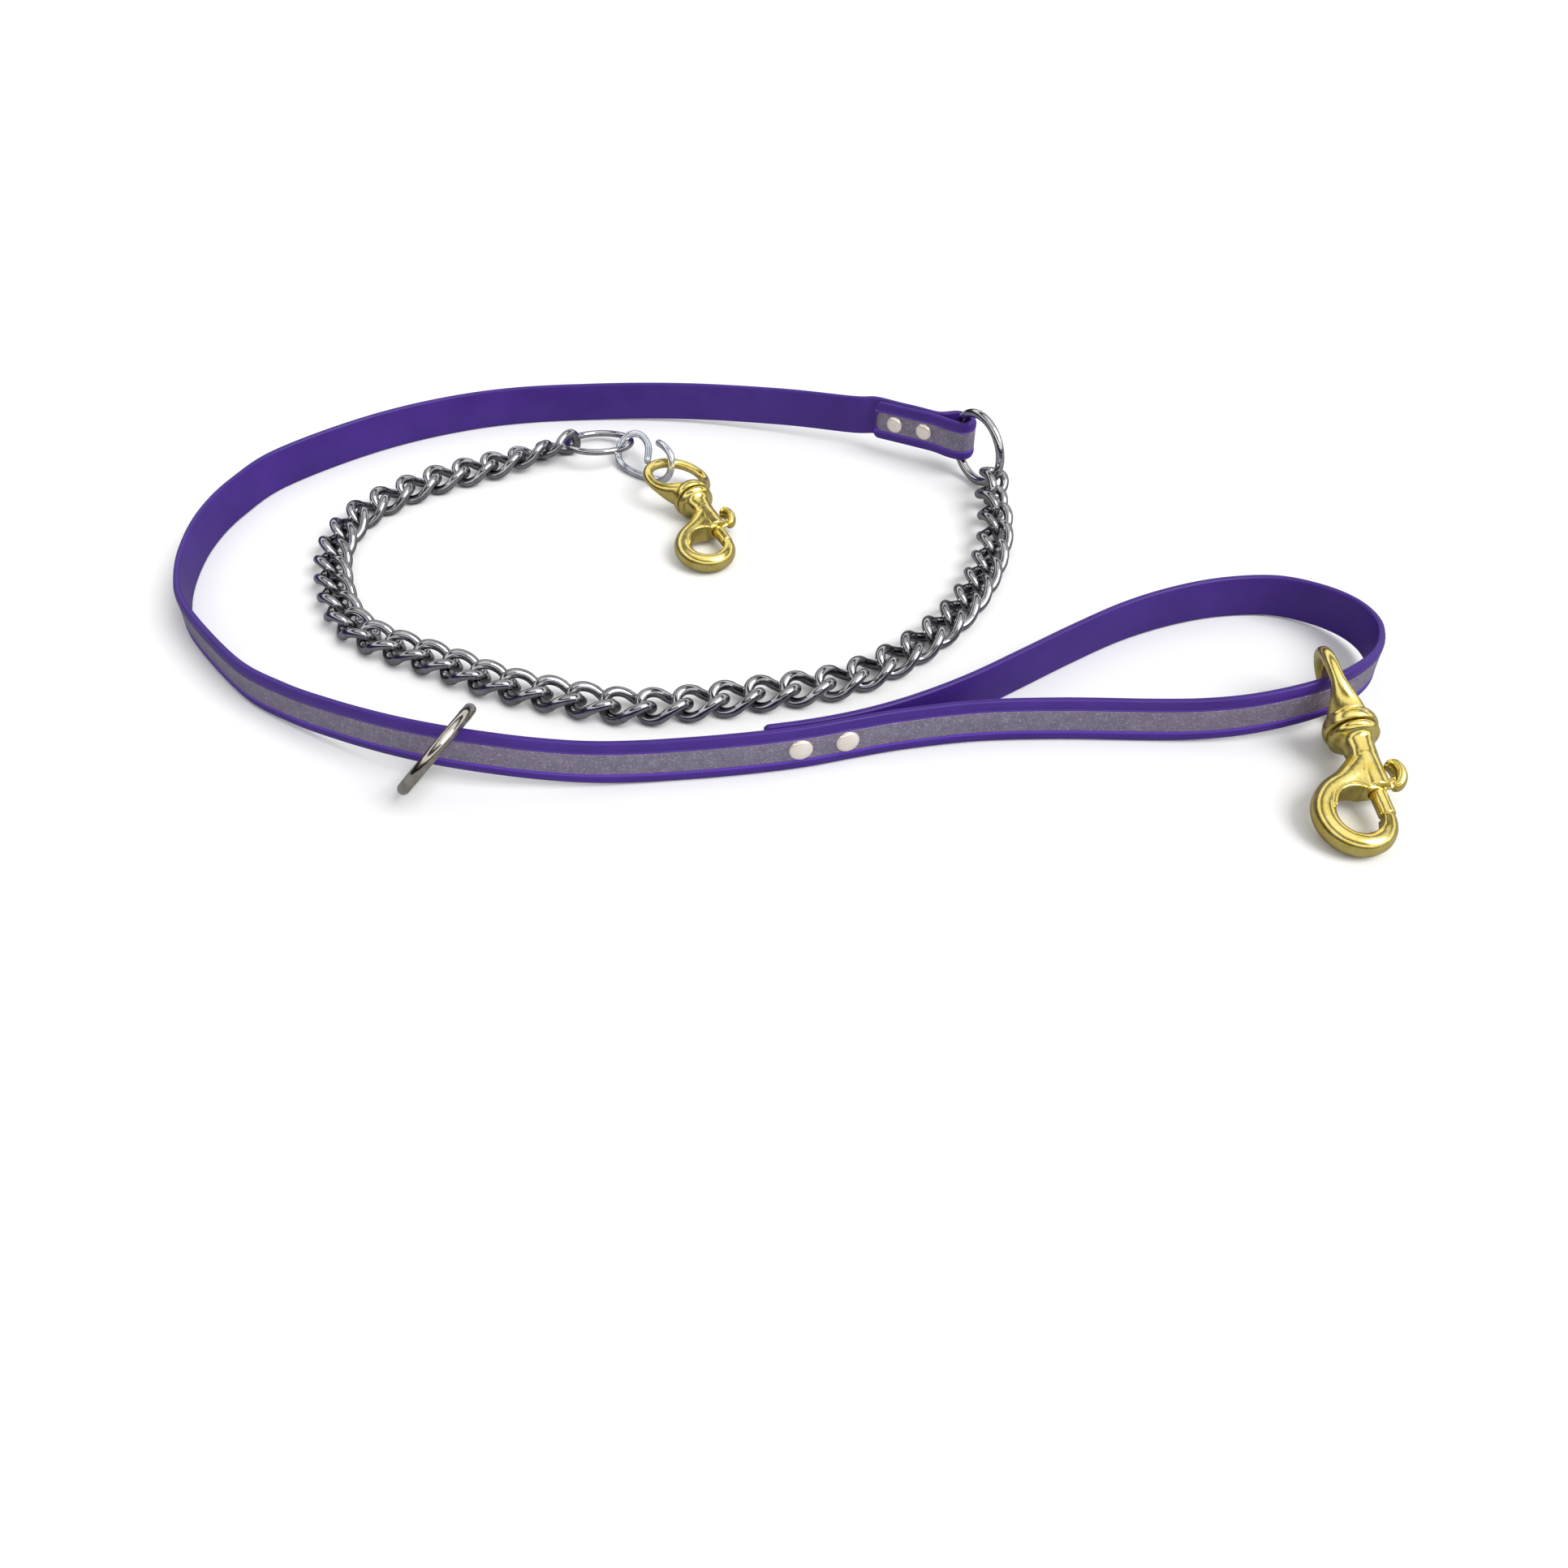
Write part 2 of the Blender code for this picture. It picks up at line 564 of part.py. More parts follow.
def add_snap_body(prefix, matrix):
    """Make the cast body: stem and collar, neck, barrel, and the hook that sweeps round."""
    head = EYE_SEAT + GAP
    collar_top = EYE_BASE_END - GAP
    profile = [(head + 1.4, STEM_HEAD_RADIUS - 0.8), (head + 0.7, STEM_HEAD_RADIUS),
               (head, STEM_HEAD_RADIUS), (head, STEM_RADIUS), (collar_top, STEM_RADIUS),
               (collar_top, 7.4), (COLLAR_END + 1.0, 7.8), (COLLAR_END, 6.6),
               (COLLAR_END - 1.6, NECK_RADIUS), (BARREL_TOP - 3.0, NECK_RADIUS - 0.4)]
    body = add_snap_piece(prefix + "_body", turned(profile, 14), "brass", matrix)
    barrel = turned([(BARREL_TOP + 1.0, BARREL_RADIUS - 0.3), (BARREL_TOP - 2.0, BARREL_RADIUS),
                     (BARREL_END, BARREL_RADIUS - 0.2)], 14, BARREL_X)
    boolean(body, add_snap_piece(prefix + "_barrel", barrel, "brass", matrix), "UNION")
    line = catmull_rom([Vector((x, y, 0.0)) for x, y, _, _ in HOOK_LINE], steps=2)
    sizes = catmull_rom([Vector((a, b, 0.0)) for _, _, a, b in HOOK_LINE], steps=2)
    out = Vector((0.0, 0.0, 1.0))
    frames = [(point, out.cross(tangent), out) for point, tangent in zip(line, tangents(line))]
    hook = bmesh.new()
    sweep(hook, frames, [oval(size.x, size.y, 8) for size in sizes])
    boolean(body, add_snap_piece(prefix + "_hook", hook, "brass", matrix), "UNION")
    bore = turned([(BARREL_END - 6.0, BORE_RADIUS), (BORE_END, BORE_RADIUS)], 12, BARREL_X)
    boolean(body, add_snap_piece(prefix + "_bore", bore, "brass", matrix), "DIFFERENCE")
    seat = turned([(BOLT_TIP - 0.5, BOLT_RADIUS + 0.5), (BARREL_END, BOLT_RADIUS + 0.5)],
                  12, BARREL_X)
    boolean(body, add_snap_piece(prefix + "_seat", seat, "brass", matrix), "DIFFERENCE")
    slot = bmesh.new()
    bmesh.ops.create_cube(slot, size=1.0)
    bmesh.ops.scale(slot, vec=(8.0, SLOT_TOP - BARREL_END + 2.0, SLOT_WIDTH), verts=slot.verts[:])
    middle = ((SLOT_TOP + BARREL_END) / 2.0) - 1.0
    bmesh.ops.translate(slot, vec=(BARREL_X + 5.5, middle, 0.0), verts=slot.verts[:])
    boolean(body, add_snap_piece(prefix + "_slot", slot, "brass", matrix), "DIFFERENCE")


def add_snap_bolt(prefix, matrix):
    """Make the sliding bolt with its thumb knob, a crescent on a short stalk."""
    rod = turned([(BOLT_TIP, BOLT_RADIUS - 0.5), (BOLT_TIP + 0.6, BOLT_RADIUS),
                  (BOLT_TOP, BOLT_RADIUS)], 12, BARREL_X)
    bolt = add_snap_piece(prefix + "_bolt", rod, "brass", matrix)
    half = (SLOT_WIDTH - 0.8) / 2.0
    across, out = Vector((0.0, 1.0, 0.0)), Vector((0.0, 0.0, 1.0))
    stalk_line = ((1.0, -44.4, 2.2, half), (5.6, -44.2, 2.0, half), (7.8, -42.8, 2.0, half + 0.2))
    stalk = bmesh.new()
    sweep(stalk, [(Vector((x, y, 0.0)), across, out) for x, y, _, _ in stalk_line],
          [oval(a, b, 8) for _, _, a, b in stalk_line])
    boolean(bolt, add_snap_piece(prefix + "_stalk", stalk, "brass", matrix), "UNION")
    knob_line = ((6.4, -35.4, 0.8, 2.6), (8.4, -36.6, 1.4, 3.4), (9.5, -39.6, 1.7, 3.8),
                 (9.2, -43.0, 1.7, 3.6), (7.4, -46.0, 1.3, 2.8))
    points = [Vector((x, y, 0.0)) for x, y, _, _ in knob_line]
    frames = [(p, out.cross(t), out) for p, t in zip(points, tangents(points))]
    knob = bmesh.new()
    sweep(knob, frames, [oval(a, b, 8) for _, _, a, b in knob_line])
    boolean(bolt, add_snap_piece(prefix + "_knob", knob, "brass", matrix), "UNION")


def add_snap_spring(prefix, matrix):
    """Make the spring that holds the bolt shut, in the barrel's blind bore."""
    turns, steps, wire = 4.0, 8, 0.35
    top, low = BORE_END - GAP - wire, BOLT_TOP + GAP + wire
    count = int(turns * steps)
    points = []
    for index in range(count + 1):
        turn = 2.0 * math.pi * index / steps
        radius = BORE_RADIUS - 0.4 - wire
        points.append(Vector((BARREL_X + radius * math.cos(turn),
                              low + (top - low) * index / count, radius * math.sin(turn))))
    add_snap_piece(prefix + "_spring", open_wire(points, wire, 4), "spring_steel", matrix)


def add_snap(size, snap):
    """Make one bolt snap."""
    prefix = size + "_snap"
    matrix = snap_matrix(snap)
    add_snap_eye(prefix, matrix, snap["eye_turn"])
    add_snap_body(prefix, matrix)
    add_snap_bolt(prefix, matrix)
    add_snap_spring(prefix, matrix)


def main():
    """Build the leash."""
    clear_scene()
    add_strap()
    add_ring("end_ring", END_RING, "chrome")
    add_chain()
    add_ring("chain_end_ring", CHAIN_END_RING, "chrome")
    add_open_hook()
    add_ring("floating_ring", FLOATING_RING, "nickel")
    for size, snap in SNAPS.items():
        add_snap(size, snap)


main()
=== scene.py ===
"""Looks of the training leash: coated webbing, curb chain, rings, open hook and two bolt snaps.

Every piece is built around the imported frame, in metres, with +Z up from the table. Sizes inside the
classes are in millimetres, and one function turns them to metres at the end.
"""
import json
import logging
import math
from dataclasses import dataclass, field
from enum import Enum
from typing import Iterable, Sequence

import bmesh
import bpy
from mathutils import Matrix, Vector


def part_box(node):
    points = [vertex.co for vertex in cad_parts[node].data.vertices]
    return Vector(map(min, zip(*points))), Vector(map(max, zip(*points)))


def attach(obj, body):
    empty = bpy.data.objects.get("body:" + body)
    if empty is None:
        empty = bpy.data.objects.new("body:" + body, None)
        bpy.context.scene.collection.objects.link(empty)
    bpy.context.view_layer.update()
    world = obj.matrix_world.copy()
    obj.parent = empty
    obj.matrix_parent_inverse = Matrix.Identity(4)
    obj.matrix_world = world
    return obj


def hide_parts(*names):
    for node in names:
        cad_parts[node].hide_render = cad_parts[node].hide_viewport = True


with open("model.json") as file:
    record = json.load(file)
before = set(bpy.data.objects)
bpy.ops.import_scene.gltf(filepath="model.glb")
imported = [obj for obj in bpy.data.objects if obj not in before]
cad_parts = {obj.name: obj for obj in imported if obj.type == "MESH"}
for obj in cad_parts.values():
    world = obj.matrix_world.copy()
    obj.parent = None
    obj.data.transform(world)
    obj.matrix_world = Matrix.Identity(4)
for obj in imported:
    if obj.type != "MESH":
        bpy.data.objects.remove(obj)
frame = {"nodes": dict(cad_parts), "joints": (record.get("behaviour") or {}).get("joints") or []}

MM = 0.001
UP = Vector((0.0, 0.0, 1.0))
LAYOUT_CENTRE = Vector((-11.57, 481.21, 0.0))     # the footprint's middle, in layout millimetres
LOG = logging.getLogger("leash")
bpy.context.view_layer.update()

Point = tuple[float, float, float]
Profile = Sequence[tuple[float, float]]
Frame = tuple[Vector, Vector, Vector]
Row = tuple[float, float, float, float]           # x, y, half width, half depth


# --- Small tools -----------------------------------------------------------------------------

def linear(hex_colour: str) -> tuple[float, float, float, float]:
    """Turn an sRGB hex colour to linear RGBA.

    Args:
        hex_colour: six hex digits, such as "4B2C86".

    Returns:
        The linear colour with alpha 1.
    """
    shares = [int(hex_colour[i:i + 2], 16) / 255.0 for i in (0, 2, 4)]
    turned = [s / 12.92 if s <= 0.04045 else ((s + 0.055) / 1.055) ** 2.4 for s in shares]
    return (*turned, 1.0)


def add_node(tree: bpy.types.NodeTree, kind: str, settings: dict | None = None,
             **inputs: object) -> bpy.types.Node:
    """Add one node, with its settings, values and links.

    Args:
        tree: the node tree to add to.
        kind: the node's type name.
        settings: attributes to set on the node before its sockets are used.
        inputs: socket values or links; a key is the socket's name with underscores for spaces,
            or "i" and the socket's number.

    Returns:
        The new node.
    """
    node = tree.nodes.new(kind)
    for name, value in (settings or {}).items():
        setattr(node, name, value)
    for key, value in inputs.items():
        number = key[1:]
        socket = node.inputs[int(number)] if number.isdigit() else node.inputs[
            key.replace("_", " ")]
        if isinstance(value, bpy.types.NodeSocket):
            tree.links.new(value, socket)
        else:
            socket.default_value = value
    return node


def ramp(tree: bpy.types.NodeTree, factor: bpy.types.NodeSocket,
         stops: Sequence[tuple[float, str]]) -> bpy.types.NodeSocket:
    """Add a colour ramp.

    Args:
        tree: the node tree to add to.
        factor: the socket that drives the ramp.
        stops: positions and sRGB hex colours, in rising order.

    Returns:
        The ramp's colour socket.
    """
    node = add_node(tree, "ShaderNodeValToRGB", Fac=factor)
    elements = node.color_ramp.elements
    while len(elements) < len(stops):
        elements.new(1.0)
    for element, (position, colour) in zip(elements, stops):
        element.position = position
        element.color = linear(colour)
    return node.outputs["Color"]


def layout(point: Sequence[float]) -> Vector:
    """Turn a layout point in millimetres into the part's frame, still in millimetres."""
    return Vector(point) - LAYOUT_CENTRE


def catmull_rom(points: Sequence[Vector], steps: int) -> list[Vector]:
    """Return a smooth curve through the points.

    Args:
        points: the points, in order.
        steps: how many pieces each span is cut into.

    Returns:
        The curve's points, from the first point to the last.
    """
    ends = [points[0] * 2.0 - points[1], *points, points[-1] * 2.0 - points[-2]]
    curve = []
    for before, start, end, after in zip(ends, ends[1:], ends[2:], ends[3:]):
        for step in range(steps):
            t = step / steps
            curve.append(0.5 * (start * 2.0 + (end - before) * t
                                + (before * 2.0 - start * 5.0 + end * 4.0 - after) * t * t
                                + (start * 3.0 - before - end * 3.0 + after) * t ** 3))
    return [*curve, points[-1].copy()]


def tapered(rows: Sequence[Row], steps: int) -> tuple[list[Vector], list[Vector]]:
    """Return a smooth line through the rows, and the half sizes along it."""
    return (catmull_rom([Vector((x, y, 0.0)) for x, y, _, _ in rows], steps),
            catmull_rom([Vector((a, b, 0.0)) for _, _, a, b in rows], steps))


def tangents(points: Sequence[Vector]) -> list[Vector]:
    """Return the unit direction of travel at each point."""
    before = [points[0], *points[:-1]]
    after = [*points[1:], points[-1]]
    return [(b - a).normalized() for a, b in zip(before, after)]


def skin(frames: Sequence[Frame], sections: Sequence[Profile],
         closed: bool = False) -> bmesh.types.BMesh:
    """Skin cross-sections along frames.

    Args:
        frames: a point with its across and up directions, for each station.
        sections: each station's outline, in the plane of its across and up directions.
        closed: whether the last station joins the first; open ends are capped.

    Returns:
        A closed bmesh with its faces outwards.
    """
    bm = bmesh.new()
    loops = [[bm.verts.new(point + across * a + up * b) for a, b in section]
             for (point, across, up), section in zip(frames, sections)]
    pairs = list(zip(loops, loops[1:])) + ([(loops[-1], loops[0])] if closed else [])
    for first, second in pairs:
        count = len(first)
        for index in range(count):
            after = (index + 1) % count
            bm.faces.new((first[index], first[after], second[after], second[index]))
    if not closed:
        bm.faces.new(loops[0])
        bm.faces.new(loops[-1])
    bmesh.ops.recalc_face_normals(bm, faces=bm.faces[:])
    return bm


def oval(across: float, up: float, sides: int, squareness: float = 2.0) -> Profile:
    """Return an oval outline, squarer as squareness rises above 2."""
    power = 2.0 / squareness
    turns = [2.0 * math.pi * (index + 0.5) / sides for index in range(sides)]
    return [(across * math.copysign(abs(math.cos(t)) ** power, math.cos(t)),
             up * math.copysign(abs(math.sin(t)) ** power, math.sin(t))) for t in turns]


def open_wire(points: Sequence[Vector], radii: Sequence[float],
              sides: int) -> bmesh.types.BMesh:
    """Skin round wire along an open route without twist."""
    directions = tangents(points)
    side = directions[0].orthogonal().normalized()
    frames = []
    for point, tangent in zip(points, directions):
        side = (side - tangent * side.dot(tangent)).normalized()
        frames.append((point, side, tangent.cross(side)))
    return skin(frames, [oval(radius, radius, sides) for radius in radii])


def turned(profile: Profile, sides: int, axis_x: float = 0.0) -> bmesh.types.BMesh:
    """Turn (y, radius) pairs about the y direction."""
    across, up = Vector((1.0, 0.0, 0.0)), Vector((0.0, 0.0, 1.0))
    frames = [(Vector((axis_x, y, 0.0)), across, up) for y, _ in profile]
    return skin(frames, [oval(radius, radius, sides) for _, radius in profile])


def new_object(name: str, bm: bmesh.types.BMesh) -> bpy.types.Object:
    """Put a bmesh in a new object and link it."""
    mesh = bpy.data.meshes.new(name)
    bm.to_mesh(mesh)
    bm.free()
    made = bpy.data.objects.new(name, mesh)
    bpy.context.scene.collection.objects.link(made)
    return made


def applied(thing: bpy.types.Object) -> bpy.types.Object:
    """Turn an object's evaluated shape into its plain mesh and drop its modifiers."""
    graph = bpy.context.evaluated_depsgraph_get()
    mesh = bpy.data.meshes.new_from_object(thing.evaluated_get(graph), depsgraph=graph)
    thing.modifiers.clear()
    thing.data = mesh
    return thing


def settled(thing: bpy.types.Object, matrix: Matrix, material: bpy.types.Material,
            body: str, slot: str, *nodes: str) -> bpy.types.Object:
    """Give a finished piece its place, finish and body.

    Args:
        thing: the piece, its mesh in millimetres.
        matrix: from the piece's own millimetres to the part's frame in millimetres.
        material: its finish.
        body: the CAD body that it rides on.
        slot: the record's material slot; not used.
        nodes: the CAD nodes that it stands for.

    Returns:
        The piece, with its place in its mesh and its object at the origin.
    """
    thing.data.transform(Matrix.Scale(MM, 4) @ matrix)
    thing.data.materials.clear()
    thing.data.materials.append(material)
    thing.data.shade_smooth()
    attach(thing, body)
    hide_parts(*nodes)
    LOG.info("%s: %d faces, on %s", thing.name, len(thing.data.polygons), body)
    return thing


def cast(name: str, solids: Iterable[bmesh.types.BMesh], cuts: Iterable[bmesh.types.BMesh],
         voxel: float, passes: int) -> bpy.types.Object:
    """Melt overlapping solids into one casting with soft inside corners.

    Args:
        name: the piece's name.
        solids: what is joined.
        cuts: what is cut away.
        voxel: the size of detail that stays, in millimetres.
        passes: how often the surface is relaxed.

    Returns:
        The piece with a plain mesh, in millimetres.
    """
    pieces = [new_object(f"{name}_solid", bm) for bm in solids]
    tools = [new_object(f"{name}_cut", bm) for bm in cuts]
    base = pieces[0]
    base.name = name
    for operation, group in (("UNION", pieces[1:]), ("DIFFERENCE", tools)):
        for piece in group:
            modifier = base.modifiers.new(operation, "BOOLEAN")
            modifier.operation = operation
            modifier.solver = "MANIFOLD"
            modifier.object = piece
    remesh = base.modifiers.new("melt", "REMESH")
    remesh.mode = "VOXEL"
    remesh.voxel_size = voxel
    relax = base.modifiers.new("relax", "SMOOTH")
    relax.factor = 0.5
    relax.iterations = passes
    applied(base)
    for piece in pieces[1:] + tools:
        bpy.data.objects.remove(piece, do_unlink=True)
    return base


# --- Finishes --------------------------------------------------------------------------------

class NodeMaker:
    """A node tree with short ways to add to it."""

    def __init__(self, tree: bpy.types.NodeTree) -> None:
        """Take the tree."""
        self.tree = tree

    def add(self, kind: str, settings: dict | None = None, **inputs: object) -> bpy.types.Node:
        """Add one node."""
        return add_node(self.tree, kind, settings, **inputs)

    def math(self, operation: str, *values: object) -> bpy.types.NodeSocket:
        """Add one arithmetic step and return its result."""
        places = {f"i{number}": value for number, value in enumerate(values)}
        return self.add("ShaderNodeMath", {"operation": operation}, **places).outputs[0]

    def mix(self, share: bpy.types.NodeSocket, under: object, over: object
            ) -> bpy.types.NodeSocket:
        """Mix two colours and return the result."""
        return self.add("ShaderNodeMix", {"data_type": "RGBA"}, i0=share, i6=under,
                        i7=over).outputs[2]


class Surface(NodeMaker):
    """A new Principled material with object coordinates."""

    def __init__(self, name: str) -> None:
        """Start the material."""
        self.material = bpy.data.materials.new(name)
        self.material.use_nodes = True
        super().__init__(self.material.node_tree)
        self.shader = self.tree.nodes["Principled BSDF"]
        self.place = self.add("ShaderNodeTexCoord").outputs["Object"]

    def noise(self, scale: float, detail: float, roughness: float = 0.5
              ) -> bpy.types.NodeSocket:
        """Add noise over the object and return its value."""
        return self.add("ShaderNodeTexNoise", Vector=self.place, Scale=scale, Detail=detail,
                        Roughness=roughness).outputs["Fac"]

    def set(self, **values: object) -> None:
        """Link or set the shader's sockets, with underscores for spaces."""
        for name, value in values.items():
            socket = self.shader.inputs[name.replace("_", " ")]
            if isinstance(value, bpy.types.NodeSocket):
                self.tree.links.new(value, socket)
            else:
                socket.default_value = value


@dataclass(frozen=True)
class CoatedWebbing:
    """Polyester webbing dipped in soft polyurethane: a deep colour under a smooth glossy skin."""

    name: str = "webbing_coated"
    base: str = "422580"
    deep: str = "391F72"
    painted_highlight: str = "5F3AB0"               # painted highlight: lighter lines on the raised borders' slopes beside the band
    painted_highlight_at: float = 5.1               # from the middle of the width, in millimetres
    painted_highlight_width: float = 0.35
    thread: float = 1.3                # weave pitch that shows through the skin, in millimetres

    def material(self) -> bpy.types.Material:
        """Return the material."""
        made = Surface(self.name)
        uv = made.add("ShaderNodeUVMap", {"uv_map": "length_and_width"}).outputs[0]
        height = made.add("ShaderNodeSeparateXYZ", i0=uv).outputs["Y"]
        outer = made.add("ShaderNodeAttribute", {"attribute_name": "outer_face"})
        mottle = made.noise(45.0, 4.0, 0.6)
        ground = ramp(made.tree, mottle, ((0.3, self.deep), (0.7, self.base)))
        # painted highlight: a lighter line along each raised border's slope beside the band, outer
        # face only
        away = made.math("SUBTRACT", made.math("ABSOLUTE", height), self.painted_highlight_at * MM)
        line = made.add("ShaderNodeMapRange", {"interpolation_type": "SMOOTHSTEP"},
                        Value=made.math("ABSOLUTE", away), From_Min=self.painted_highlight_width * MM,
                        From_Max=self.painted_highlight_width * 2.4 * MM, To_Min=0.75, To_Max=0.0)
        highlight_share = made.math("MULTIPLY", line.outputs[0], outer.outputs["Fac"])
        weave = made.add("ShaderNodeTexWave", {"bands_direction": "DIAGONAL"}, Vector=uv,
                         Scale=0.32 / (self.thread * MM), Distortion=0.6, Detail=1.0)
        relief = made.math("MULTIPLY_ADD", weave.outputs["Fac"], 0.5, made.noise(900.0, 2.0))
        bump = made.add("ShaderNodeBump", Strength=0.12, Distance=0.0001, Height=relief)
        gloss = made.add("ShaderNodeMapRange", Value=mottle, To_Min=0.30, To_Max=0.48)
        made.set(Base_Color=made.mix(highlight_share, ground, linear(self.painted_highlight)),
                 Normal=bump.outputs[0], Roughness=gloss.outputs[0],
                 Specular_IOR_Level=0.28, Coat_Weight=0.05, Coat_Roughness=0.25)
        return made.material


@dataclass(frozen=True)
class ReflectiveBand:
    """Glass-bead reflective film: grey with a fine sparkle, a little pearly."""

    name: str = "band_glass_bead"
    base: str = "766E82"
    dark: str = "6A6276"
    light: str = "857E90"
    spark: str = "B9B2C8"
    bead: float = 0.5                  # real beads are 0.05 mm; drawn coarser so that they show

    def material(self) -> bpy.types.Material:
        """Return the material."""
        made = Surface(self.name)
        beads = made.add("ShaderNodeTexVoronoi", Vector=made.place,
                         Scale=1.0 / (self.bead * MM))
        tone = ramp(made.tree, made.noise(260.0, 6.0, 0.75),
                    ((0.28, self.dark), (0.5, self.base), (0.74, self.light)))
        grain = made.add("ShaderNodeSeparateColor", i0=beads.outputs["Color"])
        spark = made.add("ShaderNodeMapRange", Value=grain.outputs[0], From_Min=0.80,
                         From_Max=1.0, To_Min=0.0, To_Max=0.45)
        bump = made.add("ShaderNodeBump", Strength=0.35, Distance=0.0001,
                        Height=beads.outputs["Distance"])
        made.set(Base_Color=made.mix(spark.outputs[0], tone, linear(self.spark)),
                 Normal=bump.outputs[0], Roughness=0.42, Metallic=0.25)
        return made.material


@dataclass(frozen=True)
class PolishedMetal:
    """Polished or plated metal: a clear mirror with faint handling marks and small dents."""

    name: str
    base: str
    shade: str
    rough_low: float
    rough_high: float
    dent: float = 0.12                 # strength of the shallow unevenness
    dent_size: float = 3.0             # in millimetres
    pit: float = 0.0                   # strength of casting pits
    pit_size: float = 0.6
    metallic: float = 1.0              # a hazy plating scatters a little of the light

    def material(self) -> bpy.types.Material:
        """Return the material."""
        made = Surface(self.name)
        cloud = made.noise(160.0, 5.0, 0.65)
        rough = made.add("ShaderNodeMapRange", Value=cloud, From_Min=0.3, From_Max=0.75,
                         To_Min=self.rough_low, To_Max=self.rough_high)
        swell = made.add("ShaderNodeBump", Strength=self.dent, Distance=0.0006,
                         Height=made.noise(1.0 / (self.dent_size * MM), 1.0))
        bump = made.add("ShaderNodeBump", Strength=self.pit, Distance=0.0002,
                        Height=made.noise(1.0 / (self.pit_size * MM), 2.0),
                        Normal=swell.outputs[0])
        made.set(Base_Color=ramp(made.tree, cloud, ((0.35, self.shade), (0.6, self.base))),
                 Roughness=rough.outputs[0], Normal=bump.outputs[0],
                 Metallic=self.metallic)
        return made.material


class Finish(Enum):
    """The finishes that the leash's pieces take."""

    # flat deep purple with a soft sheen, and painted highlight lines along the band's raised borders
    WEBBING = CoatedWebbing()
    # dull grey between the purple borders, alive with tiny bright points
    BAND = ReflectiveBand()
    # hard white lines with near-black gaps, so that each wire reads as round
    CHROME = PolishedMetal("chrome_plate", "B4B3B6", "8B8A8E", 0.06, 0.15)
    RING_CHROME = PolishedMetal("ring_chrome", "CFCFD1", "ADADB1", 0.05, 0.12)
    # warmer than the chrome beside it
    NICKEL = PolishedMetal("nickel_plate", "CFC8BD", "AAA296", 0.07, 0.15)
    # pale caps that stand out from the band
    RIVET = PolishedMetal("rivet_nickel", "F8EFE6", "EFE4D8", 0.12, 0.22, dent=0.04,
                          metallic=0.45)
    # cool, hazy silver, duller than the rings
    ZINC = PolishedMetal("zinc_wire", "E4E8EE", "C3C9D3", 0.14, 0.24, pit=0.05, metallic=0.8)
    # lemon yellow with olive shadows, slightly uneven as cast
    BRASS = PolishedMetal("brass_cast", "F8E68E", "E4CC6A", 0.15, 0.25, dent=0.16,
                          dent_size=3.4, pit=0.07, pit_size=0.7, metallic=0.93)
    # plain drawn wire, hardly seen in the barrel
    SPRING = PolishedMetal("spring_steel", "8C8C8E", "707074", 0.25, 0.35)


MATERIALS: dict[Finish, bpy.types.Material] = {}


def material(finish: Finish) -> bpy.types.Material:
    """Return a finish's material, made on first use."""
    if finish not in MATERIALS:
        MATERIALS[finish] = finish.value.material()
    return MATERIALS[finish]


# --- Strap -----------------------------------------------------------------------------------

